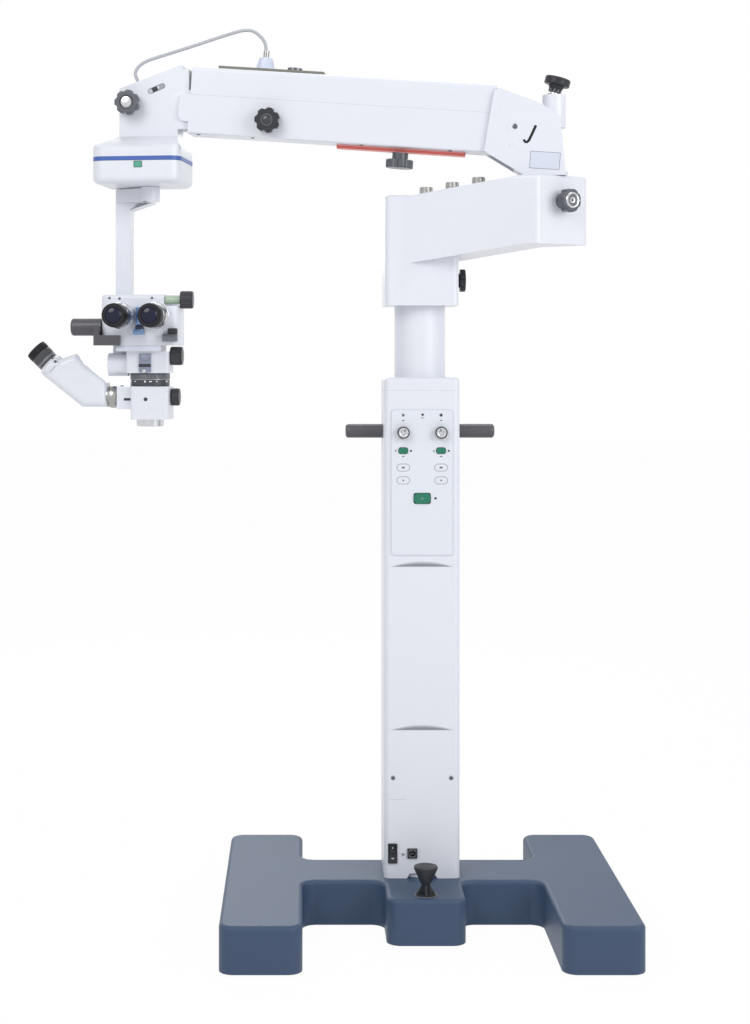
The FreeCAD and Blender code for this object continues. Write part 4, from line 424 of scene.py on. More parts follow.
def lathe(profile, segments=SEGMENTS):
    """A turned piece from points (radius, height); a radius of 0 closes it on the axis."""
    built = bmesh.new()
    rows = []
    for radius, height in profile:
        if radius == 0:
            rows.append([built.verts.new((0, 0, height))])
            continue
        steps = [math.tau * number / segments for number in range(segments)]
        rows.append([built.verts.new((radius * math.cos(a), radius * math.sin(a), height))
                     for a in steps])
    for low, high in zip(rows, rows[1:]):
        for number in range(segments):
            ahead = (number + 1) % segments
            corners = [low[number % len(low)], low[ahead % len(low)],
                       high[ahead % len(high)], high[number % len(high)]]
            face = list(dict.fromkeys(corners))
            if len(face) > 2:
                built.faces.new(face)
    return built


def prism(outline, low, high):
    """A flat piece from an outline of points (x, y)."""
    built = bmesh.new()
    under = [built.verts.new((x, y, low)) for x, y in outline]
    over = [built.verts.new((x, y, high)) for x, y in outline]
    built.faces.new(under)
    built.faces.new(over)
    for number in range(len(outline)):
        ahead = (number + 1) % len(outline)
        built.faces.new([under[number], under[ahead], over[ahead], over[number]])
    return built


def pill(width, height, corner, x=0.0, y=0.0):
    """A rectangle with round corners."""
    corner = min(corner, width / 2 - HAIR, height / 2 - HAIR)
    points = []
    for quarter, (side, rise) in enumerate(((1, 1), (-1, 1), (-1, -1), (1, -1))):
        middle_x = x + side * (width / 2 - corner)
        middle_y = y + rise * (height / 2 - corner)
        for step in range(CORNER_STEPS + 1):
            angle = math.radians(90 * (quarter + step / CORNER_STEPS))
            points.append((middle_x + corner * math.cos(angle), middle_y + corner * math.sin(angle)))
    return points


def band(outer, inner, low, high):
    """A flat ring between two outlines of as many points."""
    built = bmesh.new()
    loops = []
    for outline, height in ((outer, low), (outer, high), (inner, high), (inner, low)):
        loops.append([built.verts.new((x, y, height)) for x, y in outline])
    count = len(outer)
    for number, loop in enumerate(loops):
        beside = loops[(number + 1) % len(loops)]
        for corner in range(count):
            ahead = (corner + 1) % count
            built.faces.new([loop[corner], loop[ahead], beside[ahead], beside[corner]])
    return built


def round_line(x, y, radius, steps=32):
    """The points of a circle."""
    return [(x + radius * math.cos(math.tau * number / steps),
             y + radius * math.sin(math.tau * number / steps)) for number in range(steps)]


def stroke(path, width):
    """The outline of a line of one width with round ends, along a path of points."""
    half = width / 2
    sides = []
    for number, point in enumerate(path):
        before = path[max(number - 1, 0)]
        after = path[min(number + 1, len(path) - 1)]
        way = Vector((after[0] - before[0], after[1] - before[1])).normalized()
        sides.append((Vector(point), Vector((-way.y, way.x)), way))
    outline = [place + across * half for place, across, way in sides]
    for end, sign in ((sides[-1], 1), (sides[0], -1)):
        place, across, way = end
        for step in range(1, END_STEPS):
            angle = math.pi * step / END_STEPS
            outline.append(place + (across * math.cos(angle) + way * math.sin(angle)) * half * sign)
        if sign > 0:
            outline += [point - beside * half for point, beside, _ in reversed(sides)]
    return [tuple(point) for point in outline]


def screw(name, matrix, radius, body, look, high):
    """A small screw with a domed head and a round drive."""
    profile = [(0, high * 0.35), (radius * 0.42, high * 0.35), (radius * 0.46, high),
               (radius * 0.72, high * 0.96), (radius * 0.94, high * 0.6), (radius, high * 0.1),
               (radius, -0.2), (0, -0.2)]
    settle(name, lathe(profile, SMALL), matrix, body, look)


def washer(radius, inner, low, high, steps=32, x=0.0, y=0.0):
    """A flat ring between two circles."""
    return band(round_line(x, y, radius, steps), round_line(x, y, inner, steps), low, high)


def mark(name, outline, matrix, look, body="stand", proud=0.12, low=SUNK):
    """A thin flat piece that stands a little proud of the face it sits on."""
    settle(name, prism(outline, low, proud), matrix, body, look)


def paint(node_name, look, frame_matrix, test):
    """Gives another finish to the faces of a node whose middle, in millimetres, passes the test."""
    node = nodes[node_name]
    node.data.materials.append(look)
    index = len(node.data.materials) - 1
    inverse = frame_matrix.inverted() @ node.matrix_world
    for polygon in node.data.polygons:
        place = inverse @ polygon.center
        if test(place / MM):
            polygon.material_index = index


def trim(name, knob, profile, look):
    """A turned piece on a hand knob, in the knob's own frame."""
    settle(name, lathe(profile), out_of(knob), knob, look)


def knurl(radius, low, high, teeth, deep=0.45):
    """A ribbed band round a frame's local Z."""
    outline = []
    for number in range(teeth):
        for share, reach in ((0.0, 0), (0.2, deep), (0.55, deep), (0.75, 0)):
            angle = math.tau * (number + share) / teeth
            outline.append(((radius + reach) * math.cos(angle), (radius + reach) * math.sin(angle)))
    inner = [(x * KNURL_INSIDE, y * KNURL_INSIDE) for x, y in outline]
    return band(outline, inner, low, high)


# Column: marks of the panel, screws, seam and the fittings near its foot

SIDES = (("left", -1), ("right", 1))
BASE_TOP = 94
PANEL_LOW, DIAL_LEVEL = 750, 1000
COLUMN_FRONT, PANEL_FRONT, MODULE_FRONT = -75, -77, -78
CONTROL_ACROSS = 38.4
KEY_LEVELS = (178.7, 152.6)
KEY_WIDTH, KEY_HEIGHT, KEY_CORNER, KEY_LINE = 26.8, 15.5, 7.5, 0.8
LAMP_LEVEL, LAMP_TICK_LEVEL = 285.2, 274.4
ROCKER_LEVEL, ROCKER_DOT_LEVEL, ROCKER_TICK_LEVEL = 213, 212.6, 201
MAIN_LEVEL, MAIN_PROUD = 116, 2.7
PANEL_MIDDLE = 148.5
SCOOP_LEVELS = (636, 304)
SCOOP_HALF, SCOOP_RISE, SCOOP_SINK = 66, 11.5, 3.2
SCOOP_NARROWER, SCOOP_FLATTER, SCOOP_HIGHER = 3, 1.7, 0.2
SCOOP_POINTS = 12
INLET_ACROSS, SOCKET_ACROSS, INLET_LEVEL, MAINS_LEVEL = -60, -20, 145, 158
PIN_REACH = 3
SCREW_ACROSS, SCREW_LEVEL = 59, 204
PANEL_FACE = on_face(STAND, 0, PANEL_FRONT, PANEL_LOW)
COLUMN_FACE = on_face(STAND, 0, COLUMN_FRONT, BASE_TOP)
# Five greys, lighter to darker, of the painted shade in the two scoops
SCOOP_SHADES = [finish_for(f"scoop_painted_shade_{step}", (level, level + 2, level + 9), 0.5)
                for step, level in enumerate((205, 186, 166, 147, 131))]


def dress_keys(tag, across):
    """Outline, film and blank sign of the two keys under a rocker."""
    for row, level in enumerate(KEY_LEVELS):
        outer = pill(KEY_WIDTH, KEY_HEIGHT, KEY_CORNER, across, level)
        inner = pill(KEY_WIDTH - 2 * KEY_LINE, KEY_HEIGHT - 2 * KEY_LINE, KEY_CORNER - KEY_LINE,
                     across, level)
        settle(f"key_line_{tag}_{row}", band(outer, inner, SUNK, 0.25), PANEL_FACE, "stand",
               GREY_PRINT)
        mark(f"key_film_{tag}_{row}", inner, PANEL_FACE, WHITE_SATIN, proud=0.1)
    upper, lower = KEY_LEVELS
    for number, outline in enumerate((pill(5.6, 3.8, 0.9, across, upper),
                                      round_line(across, lower, 1.7))):
        mark(f"key_icon_{tag}_{number}", outline, PANEL_FACE, GREY_PRINT, proud=0.2)
    mark(f"key_bar_{tag}", pill(6.5, 1.1, 0.5, across, upper), PANEL_FACE, GREY_PRINT, proud=0.18)


def dress_panel():
    """Keys, dots, ticks and rims of the control panel, without words or signs."""
    for tag, side, dot in (("left", -1, 1.9), ("right", 1, 2.4)):
        across = side * CONTROL_ACROSS
        dress_keys(tag, across)
        mark(f"lamp_dot_{tag}", round_line(across, LAMP_LEVEL, dot), PANEL_FACE, LINE, proud=0.3)
        settle(f"lamp_ring_{tag}", washer(3.2, 2.5, SUNK, 0.2, x=across, y=LAMP_LEVEL), PANEL_FACE,
               "stand", GREY_PRINT)
        mark(f"lamp_tick_{tag}", pill(4.0, 2.4, 0.9, across, LAMP_TICK_LEVEL), PANEL_FACE,
             GREY_PRINT)
        mark(f"rocker_tick_{tag}", pill(5.0, 2.2, 0.9, across, ROCKER_TICK_LEVEL), PANEL_FACE,
             GREY_PRINT)
        mark(f"rocker_dot_{tag}", round_line(across + 15.6, ROCKER_DOT_LEVEL, 2.2), PANEL_FACE, LINE)
        if side < 0:
            mark("rocker_bar", pill(1.8, 5.2, 0.7, across - 15.3, ROCKER_DOT_LEVEL), PANEL_FACE, LINE)
        else:
            settle("rocker_ring", washer(2.1, 1.4, SUNK, 0.15, x=across - 15, y=ROCKER_LEVEL - 1),
                   PANEL_FACE, "stand", LINE)
        rim = band(pill(21.6, 15.1, 6.2, across, ROCKER_LEVEL),
                   pill(20.2, 13.7, 5.6, across, ROCKER_LEVEL), SUNK, 0.6)
        settle(f"rocker_rim_{tag}", rim, PANEL_FACE, "stand", WHITE_SATIN)
    mark("lamp_dot_middle", round_line(0.9, LAMP_LEVEL + 0.8, 2.6), PANEL_FACE, LINE, proud=0.3)
    mark("lamp_tick_middle", pill(8.0, 1.2, 0.5, 0.9, 279.6), PANEL_FACE, GREY_PRINT)
    mark("main_dot", round_line(27.0, MAIN_LEVEL + 0.2, 2.5), PANEL_FACE, LINE, proud=0.25)
    rim = band(pill(35.2, 22.7, 7.9, 0, MAIN_LEVEL), pill(34.2, 21.7, 7.4, 0, MAIN_LEVEL), SUNK, 0.5)
    settle("main_rim", rim, PANEL_FACE, "stand", GREEN_DARK)
    face = on_face(STAND, 0, PANEL_FRONT - MAIN_PROUD, PANEL_LOW + MAIN_LEVEL)
    settle("main_mark", washer(2.0, 1.4, -0.3, 0.25, 24), face, "main_switch", GREEN_GREY)
    edge = band(pill(125.4, 295.4, 7.4, 0, PANEL_MIDDLE), pill(123.9, 293.9, 6.8, 0, PANEL_MIDDLE),
                -0.1, 0.1)
    settle("panel_line", edge, PANEL_FACE, "stand", GREY_PALE)


def dress_dials():
    """Rim, cap, hand and ring of the two dials."""
    for tag, side, degrees in (("left", -1, -35), ("right", 1, 20)):
        matrix = on_face(STAND, side * CONTROL_ACROSS, PANEL_FRONT, DIAL_LEVEL)
        body = f"dial_{tag}"
        settle(f"dial_rim_{tag}", washer(12.4, 10.4, 12.4, 13.4, 64), matrix, body, LINE)
        cap = lathe([(0, 13.2), (7.6, 13.2), (8.0, 13.5), (9.8, 13.3), (10.2, 12.9), (0, 12.9)], 40)
        settle(f"dial_cap_{tag}", cap, matrix, body, CAP_GREY)
        mark(f"dial_hand_{tag}", pill(1.3, 6.4, 0.6, 0, 5.2), turned_by(matrix, degrees), LINE,
             body, 13.75, 13.2)
        settle(f"dial_ring_{tag}", washer(5.0, 4.5, 13.0, 13.5), matrix, body, GREY_PRINT)


def dress_scoops():
    """Two moulded scoops: a flush white filling over each recess, then crescents of painted shade, each
    smaller and darker.
    """
    for number, level in enumerate(SCOOP_LEVELS):
        fill = [(-67.5, level - 0.7), (67.5, level - 0.7), (47, level + 7.8), (20, level + 12.7),
                (-20, level + 12.7), (-47, level + 7.8)]
        mark(f"scoop_fill_{number}", fill, COLUMN_FACE, WHITE, proud=0.03, low=-1.9)
        # Painted shade: each crescent narrower, flatter and darker than the one before
        for step, look in enumerate(SCOOP_SHADES):
            half = SCOOP_HALF - SCOOP_NARROWER * step
            rise = SCOOP_RISE - SCOOP_FLATTER * step
            foot = level - SCOOP_SINK + SCOOP_HIGHER * step
            shares = [point / SCOOP_POINTS for point in range(SCOOP_POINTS, -SCOOP_POINTS - 1, -1)]
            shade = [(half * share, foot + rise * (1 - share ** 2)) for share in shares]
            mark(f"scoop_shade_{number}_{step}", shade, COLUMN_FACE, look,
                 proud=0.08 + 0.05 * step)


def dress_column():
    """Screws, seam and scoops, then the mains module and the round socket."""
    for tag, side in SIDES:
        place = spot(COLUMN_FACE, side * SCREW_ACROSS, SCREW_LEVEL)
        screw(f"column_screw_{tag}", place, 3.9, "stand", DARK_STEEL, 1.3)
        settle(f"column_cup_{tag}", washer(5.4, 4.2, -0.1, 0.15, SMALL), place, "stand", GREY_PALE)
    mark("column_seam", pill(34, 0.8, 0.3, -49, 160.5), COLUMN_FACE, GREY_PALE,
         proud=0.06)
    dress_scoops()
    screw("module_screw", spot(COLUMN_FACE, -39, 49.6), 3.3, "stand", STEEL, 1.6)
    module = on_face(STAND, INLET_ACROSS, MODULE_FRONT, INLET_LEVEL)
    mark("module_line", pill(5.4, 2.6, 0.5, 0, -9.8), module, CAP_GREY, proud=0.15)
    mark("module_mark", pill(1.2, 4.4, 0.5),
         on_face(STAND, INLET_ACROSS, MODULE_FRONT - 2.95, MAINS_LEVEL), WHITE,
         "mains_rocker", 0.1, -0.3)
    frame_line = band(pill(18.6, 39.6, 1.6), pill(16.8, 37.8, 1.2), -0.1, 0.5)
    settle("module_frame", frame_line, module, "stand", BLACK)
    socket = on_face(STAND, SOCKET_ACROSS, MODULE_FRONT, INLET_LEVEL)
    rim = lathe([(6.4, -1.0), (6.4, 0.9), (7.0, 1.4), (8.4, 1.4), (9.0, 0.9), (9.0, -0.2)])
    settle("socket_rim", rim, socket, "stand", DARK_STEEL)
    for number in range(3):
        angle = math.radians(90 + 120 * number)
        place = spot(socket, PIN_REACH * math.cos(angle), PIN_REACH * math.sin(angle))
        pin = lathe([(0, -9.2), (0.8, -9.2), (0.8, -2.6), (0, -2.2)], 12)
        settle(f"socket_pin_{number}", pin, place, "stand", BRIGHT)


# Base: the rim of the pedal's opening and the pad on the pedal

PEDAL = spot(STAND, 0, -187, BASE_TOP)
PEDAL_RISE = 57


def dress_base():
    rim = lathe([(19.4, -0.6), (19.4, 0.9), (20.2, 1.5), (22.6, 1.5), (23.4, 0.6), (23.4, -0.4)])
    settle("pedal_rim", rim, PEDAL, "stand", DARK_STEEL)
    top = spot(PEDAL, z=PEDAL_RISE)
    pad = lathe([(0, -0.2), (19.5, -0.2), (20.4, 0.3), (19.8, 0.8), (18.2, 0.75), (17.6, 0.45),
                 (0, 0.45)])
    settle("pedal_pad", pad, top, "pedal", PEDAL_GREY)
    for number, radius in enumerate((5.0, 9.0, 13.0)):
        ridge = lathe([(radius, 0.4), (radius + 0.4, 1.0), (radius + 1.5, 1.0), (radius + 1.9, 0.4)])
        settle(f"pedal_ridge_{number}", ridge, top, "pedal", PEDAL_GREY)


# Head, rear bracket and arm

CAP_FIRST, CAP_STEP = 14, 57
HEAD_TOP, HEAD_RISE, HEAD_RUN = 222, 35, 245
BRACKET_FRONT = -43
SLOT_PATH = [(-24.1, 97.3), (-27.6, 89.6), (-31.4, 81.4), (-34.9, 74.1), (-37.6, 69.2),
             (-40.9, 66.2), (-44.2, 66.4), (-46.4, 69.4)]
SLOT_WIDTH, SLOT_RIM = 5.4, 1.2
PLATE_TURN, PLATE_WIDTH, PLATE_HEIGHT, PLATE_LINE = -4.5, 59.5, 34, 0.7
RIVET_REACH = 27
ARM_LENGTH, ARM_TOP, ARM_UNDER, PLATE_THICK = 665, 83, -54, 5.5
BEAM_HALF, CASING_HALF, RAIL_HALF = 30.02, 36, 7
SEAM_MIDDLE, SEAM_LEVEL = -347, 25.5
RAIL_MIDDLE, RAIL_EDGES = -221.5, (-1.3, -8.3)
CASING_SCREWS, PLATE_SCREWS, PLATE_SCREW_REACH = (-636, -523.5, -300, -120), (-596, -396), 19
SLEEVE_LOW, SLEEVE_STEP = 26, 3.4
BOSS = spot(ARM, -512.5, 0, ARM_TOP + PLATE_THICK)
ARM_SIDES = (("front", -1), ("back", 1))


def dress_head():
    """Ribs and collars of the three caps, and the trim of the two lock knobs."""
    for number in range(3):
        along = CAP_FIRST + CAP_STEP * number
        place = spot(HEAD, along, 0, HEAD_TOP + HEAD_RISE / HEAD_RUN * along)
        settle(f"screw_ribs_{number}", knurl(13.4, 2.5, 19, 40, 0.35), place, "head", STEEL)
        collar = lathe([(13.3, -1.4), (15.6, -1.4), (15.8, 1.4), (14.6, 2.0), (13.3, 2.0)])
        settle(f"screw_collar_{number}", collar, place, "head", BRIGHT)
    knob = "pivot_lock_knob"
    cup = [(0, 34.7), (5.4, 35.2), (6.2, 36.0), (6.6, 35.2), (11.2, 35.2), (12.2, 37.2),
           (14.6, 37.4), (15.8, 36.4), (16.2, 34.6)]
    trim("pivot_knob_insert", knob, cup, BRIGHT)
    # A darker steel ring on the cup's floor, between the screw and the raised rim: painted shade in the
    # cup's recess
    settle("pivot_knob_painted_shade", washer(11.3, 6.4, 35.0, 35.5), out_of(knob), knob, DARK_STEEL)
    trim("pivot_knob_neck", knob, [(12, 0.4), (14.5, 1.2), (13, 5.5), (12, 6)], STEEL)
    trim("head_knob_cap", "head_lock_knob", [(0, 19.5), (7, 19.5), (8, 19.2), (8.4, 18.4)],
         BLACK_GLOSS)


def dress_bracket():
    """Screw, curved slot and bare plate of the front cheek, and the balance knob's trim."""
    face = on_face(BRACKET, 0, BRACKET_FRONT, 0)
    screw("bracket_screw", spot(face, -64.6, 97.9), 5.2, "bracket", DARK_STEEL, 1.4)
    slot = stroke(SLOT_PATH, SLOT_WIDTH)
    mark("bracket_slot", slot, face, DARK_HOLE, "bracket", 0.08)
    rim = band(stroke(SLOT_PATH, SLOT_WIDTH + SLOT_RIM), slot, SUNK, 0.2)
    settle("bracket_slot_rim", rim, face, "bracket", WHITE_SATIN)
    plate = turned_by(spot(face, -5.4, 29.2), PLATE_TURN)
    outline = pill(PLATE_WIDTH, PLATE_HEIGHT, 1.5)
    mark("bare_plate", outline, plate, PLATE_PALE, "bracket", 0.35)
    inner = pill(PLATE_WIDTH - 2 * PLATE_LINE, PLATE_HEIGHT - 2 * PLATE_LINE, 1.0)
    edge = band(outline, inner, 0.3, 0.5)
    settle("bare_plate_edge", edge, plate, "bracket", GREY_PRINT)
    for number, side in enumerate((-1, 1)):
        rivet = lathe([(1.2, 0), (1.0, 0.5), (0, 0.7)], 16)
        settle(f"plate_rivet_{number}", rivet, spot(plate, side * RIVET_REACH, 0, 0.3), "bracket",
               BRIGHT)
    knob = "balance_knob"
    cone = [(0, 5), (9.8, 5), (12.4, 8.5), (13.6, 13.5), (16.6, 19.2), (16.6, 20.2), (0, 20.2)]
    trim("balance_cone", knob, cone, BLACK)
    settle("balance_ribs", knurl(11.8, 6.5, 16.5, 9, 1.6), out_of(knob), knob, KNOB_GREY)
    trim("balance_cap", knob, [(0, 36.7), (6, 36.7), (7.4, 36.4), (8, 35.8)], BLACK_GLOSS)
    settle("boss_ring", lathe([(9.3, -0.2), (9.3, 1.6), (12.5, 1.6), (13.2, 0.9), (13.2, -0.2)]),
           out_of(knob), "bracket", STEEL)


def arm_side(side, along, half, level):
    """A frame on the arm's front, side -1, or its back, side 1, local Z away from the arm."""
    return spot(ARM, along, side * half, level, "X", -90 * side)


def dress_casing():
    """Covers over the beam's eyes, seams, pale strips of painted highlight along the rail's edges and
    screws of the casing.
    """
    for tag, side in ARM_SIDES:
        disc = lathe([(0, 0), (34.5, 0), (34.5, 0.15), (33.8, 0.25), (0, 0.25)], 64)
        settle(f"pivot_cover_{tag}", disc, arm_side(side, -ARM_LENGTH, BEAM_HALF, 0), "arm", WHITE)
    for tag, side in ARM_SIDES:
        place = arm_side(side, SEAM_MIDDLE, CASING_HALF, SEAM_LEVEL)
        mark(f"casing_seam_{tag}", pill(618, 0.8, 0.3), place, SEAM_GREY, "arm", 0.08)
    # Pale strips along the top and bottom edges of the red rail's sides: painted highlights
    for tag, side in ARM_SIDES:
        for number, level in enumerate(RAIL_EDGES):
            settle(f"rail_highlight_{tag}_{number}", prism(pill(261, 1.7, 0.8), -0.1, 0.5),
                   arm_side(side, RAIL_MIDDLE, RAIL_HALF, ARM_UNDER + level), "arm", RAIL_HIGHLIGHT,
                   0.2)
    for number, along in enumerate(CASING_SCREWS):
        under = spot(ARM, along, -24, ARM_UNDER, "X", 180)
        screw(f"casing_screw_{number}", under, 4.2, "arm", DARK_STEEL, 1.5)
    for number, along in enumerate(PLATE_SCREWS):
        for row, side in enumerate((-1, 1)):
            place = spot(ARM, along, side * PLATE_SCREW_REACH, ARM_TOP + PLATE_THICK)
            screw(f"plate_screw_{number}_{row}", place, 3.6, "arm", STEEL, 1.2)


def dress_arm():
    """The casing, the foot and sleeve of the cable's boss, and the trim of two hand knobs."""
    dress_casing()
    foot = lathe([(21.0, -0.1), (22.4, -0.1), (22.4, 2.2), (21.6, 3.0), (19.8, 3.2)])
    settle("boss_foot", foot, BOSS, "arm", BOSS_BLUE)
    for number in range(4):
        low = SLEEVE_LOW + SLEEVE_STEP * number
        sleeve = lathe([(5.9, low), (6.5, low + 0.6), (6.5, low + 1.8), (5.9, low + 2.4)], SMALL)
        settle(f"sleeve_rib_{number}", sleeve, BOSS, "arm", STEEL)
    knob = "side_knob"
    trim("side_knob_cap", knob, [(0, 28.8), (6.5, 28.8), (7.6, 28.5), (8.2, 27.7)], BLACK_GLOSS)
    settle("side_knob_ring", washer(11.8, 10.4, 27.6, 28.3), out_of(knob), knob, DARK_STEEL)
    trim("side_knob_foot", knob, [(12.5, 0.4), (15.5, 0.4), (15.5, 1.6), (14.5, 2.4)], BLACK)
    trim("under_knob_cap", "under_knob", [(0, 31.6), (8, 31.6), (9.2, 31.2), (9.8, 30.4)],
         BLACK_GLOSS)


# Knuckle with its level window and the cross table

KNUCKLE_FRONT = -30
SLOT_SLOPE, WINDOW_SLOPE = -21, 22
WINDOW = pill(36.5, 9.4, 4.6)


def dress_knuckle():
    corners = [(-19.8, -7.2), (19.8, -7.2), (19.8, 7.2), (-19.8, 7.2)]
    fill = turned_by(on_face(KNUCKLE, -67, KNUCKLE_FRONT, 47), SLOT_SLOPE)
    mark("level_fill", corners, fill, WHITE, "knuckle", 0.04, -4.9)
    glass = turned_by(on_face(KNUCKLE, -62, KNUCKLE_FRONT, 38.4), WINDOW_SLOPE)
    mark("level_glass", WINDOW, glass, SLOT_GREY, "knuckle", 0.12)
    edge = band(pill(38.3, 11.2, 5.5), WINDOW, -0.1, 0.5)
    settle("level_edge", edge, glass, "knuckle", GREY_METAL)
    mark("level_pale", pill(8.5, 8.8, 4.2, -13.6, 0), glass, GREY_PALE, "knuckle",
         0.2)
    settle("level_tab", prism(pill(11, 8.6, 1.2, -3.6, 0), -0.1, 1.3), glass, "knuckle", LINE,
           soften=0.4)
    mark("level_line", pill(2.6, 5.4, 1, 4.6, 0.6), glass, WHITE, "knuckle", 0.3)
    knob = "knuckle_knob"
    insert = [(0, 35.7), (9.9, 35.7), (10.8, 35.3), (11.0, 33.8)]
    trim("knuckle_knob_insert", knob, insert, BRIGHT)
    rim = [(10.9, 33.8), (11.1, 35.3), (13.2, 35.6), (14.2, 34.8), (14.5, 33.8)]
    trim("knuckle_knob_ring", knob, rim, BLACK_GLOSS)
    neck = [(11, 0.4), (15.5, 0.4), (15.5, 3.0), (14.0, 4.2), (13.0, 8.0)]
    trim("knuckle_knob_neck", knob, neck, BLACK)
    window = on_face(KNUCKLE, -89.6, -82, -121.2)
    inner = pill(15.0, 11.0, 1.0)
    settle("green_frame", band(pill(17.4, 13.4, 1.6), inner, -0.1, 0.8), window, "table",
           GREEN_DARK)
    settle("green_glass", prism(inner, -0.1, 0.5), window, "table", GREEN_GLASS)
    screw("carrier_screw", spot(CARRIER, -10, -6, -30, "X", 180), 4.4, "carrier", DARK_STEEL, 1.6)


# Microscope

SCOPE_FRONT = -62
EYE_MIDDLE, EYE_APART, EYE_LEVEL, EYE_PLAY = -11, 36, 227, 7
WAIST_ROUND, WAIST_STEP, WAIST_STEPS = 28.2, 2.2, 8
ZOOM_RADIUS, ZOOM_LOW = 40.6, 83
ZOOM_MARKS = ((-40, 5, 2.2), (-6, 4, 4), (10, 6, 2.2), (28, 3, 2.2), (66, 6, 3.2), (-64, 4, 2.2))
HOUSING_SCREWS = ((-74, 264), (13.8, 264), (-53.2, 263))
KNOB_RIBS = (("tilt_knob", 17.3, 34, 56, 30), ("magnification_knob", 18.3, 3, 22, 32),
             ("filter_knob", 17.3, 3, 15, 30))
GRIP_RIBS = (3, 50)
WHITE_UPTO, STEEL_UPTO, RUBBER_FROM = 32, 41.5, 94.2


def eye_face(side):
    return on_face(SCOPE, EYE_MIDDLE + side * EYE_APART, SCOPE_FRONT, EYE_LEVEL)


def dress_eyepieces():
    """Collar, ribs, line, cup and lens of both eyepieces."""
    for tag, side in SIDES:
        place = eye_face(side)
        body = f"eyepiece_{tag}"
        paint(body, WHITE, place, lambda p: p.z < WHITE_UPTO)
        paint(body, BRIGHT, place, lambda p: WHITE_UPTO < p.z < STEEL_UPTO)
        paint(body, RUBBER, place, lambda p: p.z > RUBBER_FROM)
        cup = [(23.3, 74), (24.6, 75), (24.9, 84), (24.4, 97), (23.6, 105.4), (22.4, 107.2),
               (18.8, 107.4), (17.9, 106.6), (17.4, 105.8)]
        dome = [(17.6, 105.4), (17.2, 106.2), (14.6, 107.9), (10.8, 109.4), (5.6, 110.4), (0, 110.8)]
        parts = (
            ("collar", lathe([(26.4, 27), (28.0, 27.6), (28.0, 32.2), (26.2, 33)]), BRIGHT, "steel"),
            ("ribs", knurl(23.3, 48, 60, 44, 0.5), BLACK, "black_plastic"),
            ("line", lathe([(23.4, 63.5), (23.8, 63.8), (23.8, 65.2), (23.4, 65.5)]), BRIGHT,
             "steel"),
            ("cup", lathe(cup), RUBBER, "black_rubber"),
            ("glass", lathe(dome), LENS, "black_plastic"),
            ("glass_ring", lathe([(18.9, 107.2), (18.6, 107.9), (17.5, 107.9), (17.2, 106.3)]),
             BLACK_GLOSS, "black_plastic"),
        )
        for name, built, look, slot in parts:
            settle(f"eye_{tag}_{name}", built, place, body, look)


def dress_front(face):
    """Bridge and clamp blocks, screws, and the rings where the eyepieces leave the head."""
    rises = [step * WAIST_STEP for step in range(-WAIST_STEPS, WAIST_STEPS + 1)]
    waist = [(EYE_APART - EYE_PLAY - math.sqrt(WAIST_ROUND ** 2 - rise ** 2), EYE_LEVEL + rise)
             for rise in rises]
    bridge = [(EYE_MIDDLE + half, level) for half, level in waist]
    bridge += [(EYE_MIDDLE - half, level) for half, level in reversed(waist)]
    blocks = (
        ("bridge", bridge, 25, BLUE_METAL),
        ("bridge_low", pill(22, 11, 2, -12.4, 194.5), 14, BLUE_METAL),
        ("bridge_gap", pill(16.5, 8, 2, EYE_MIDDLE, 204.0), 10, NAVY),
        ("clamp_box", pill(30.5, 12.4, 2, 51.8, 181.2), 12, GREY_METAL),
        ("clamp_core", pill(19, 14.6, 2, 57, 194.8), 9, LINE),
        ("clamp_lip", pill(30.5, 3.6, 1.2, 51.8, 188.4), 13, DARK_STEEL),
    )
    for name, outline, proud, look in blocks:
        settle(f"scope_{name}", prism(outline, -0.3, proud), face, "scope", look, soften=0.7)
    mark("bridge_tint", pill(17, 35, 3, -11.2, 228), face, BLUE_METAL, body="scope")
    for number, (x, z) in enumerate(HOUSING_SCREWS):
        screw(f"housing_screw_{number}", spot(face, x, z), 2.8, "scope", DARK_STEEL, 0.9)
    for tag, side in SIDES:
        hood = lathe([(26.8, 0.3), (28.0, 0.5), (28.0, 2.8), (27.6, 3.6), (26.8, 3.8)], LARGE)
        settle(f"eye_ring_{tag}", hood, eye_face(side), f"eyepiece_{tag}", WHITE)


def dress_slider(face):
    """The slider under the eyepieces, its index pin and the pale cover over it."""
    middle = on_face(SCOPE, -3.2, -46, 131)
    settle("slider_plate", prism(pill(24.8, 38, 1.5), -0.2, 3), middle, "scope", SLATE,
           0.5)
    settle("slider_slot", prism(pill(25.4, 6.2, 1, 0, -5), 2.4, 4.4), middle, "scope", LINE,
           soften=0.3)
    settle("slider_knob", prism(pill(18, 10, 3, 0, 10), 2.6, 5.6), middle, "scope", SLATE,
           0.8)
    settle("index_pin", lathe([(4.4, -0.2), (4.4, 6), (3.6, 6.9), (0, 7.1)], SMALL),
           on_face(SCOPE, -4.3, -46, 114.8), "scope", BRIGHT)
    settle("slide_cover", prism(pill(92, 9, 1.5, -14.7, 161), -0.2, 1.2), face, "scope", COOL_WHITE,
           0.3)


def dress_zoom():
    """Ribs, bright line and plain marks of the zoom ring."""
    place = spot(SCOPE, z=ZOOM_LOW)
    settle("zoom_ribs", knurl(ZOOM_RADIUS, 15, 25, 90, 0.5), place, "zoom_ring", GREY_METAL)
    line = lathe([(ZOOM_RADIUS, 13.4), (ZOOM_RADIUS + 0.5, 13.7), (ZOOM_RADIUS + 0.5, 14.3),
                  (ZOOM_RADIUS, 14.6)], 72)
    settle("zoom_line", line, place, "zoom_ring", BRIGHT)
    for number, (angle, width, tall) in enumerate(ZOOM_MARKS):
        face = on_face(spot(SCOPE, turn="Z", angle=angle), 0, -ZOOM_RADIUS - 0.1, ZOOM_LOW + 10)
        mark(f"zoom_mark_{number}", pill(width, tall, tall / 2 - 0.1), face, WHITE,
             "zoom_ring", 0.2, -0.3)


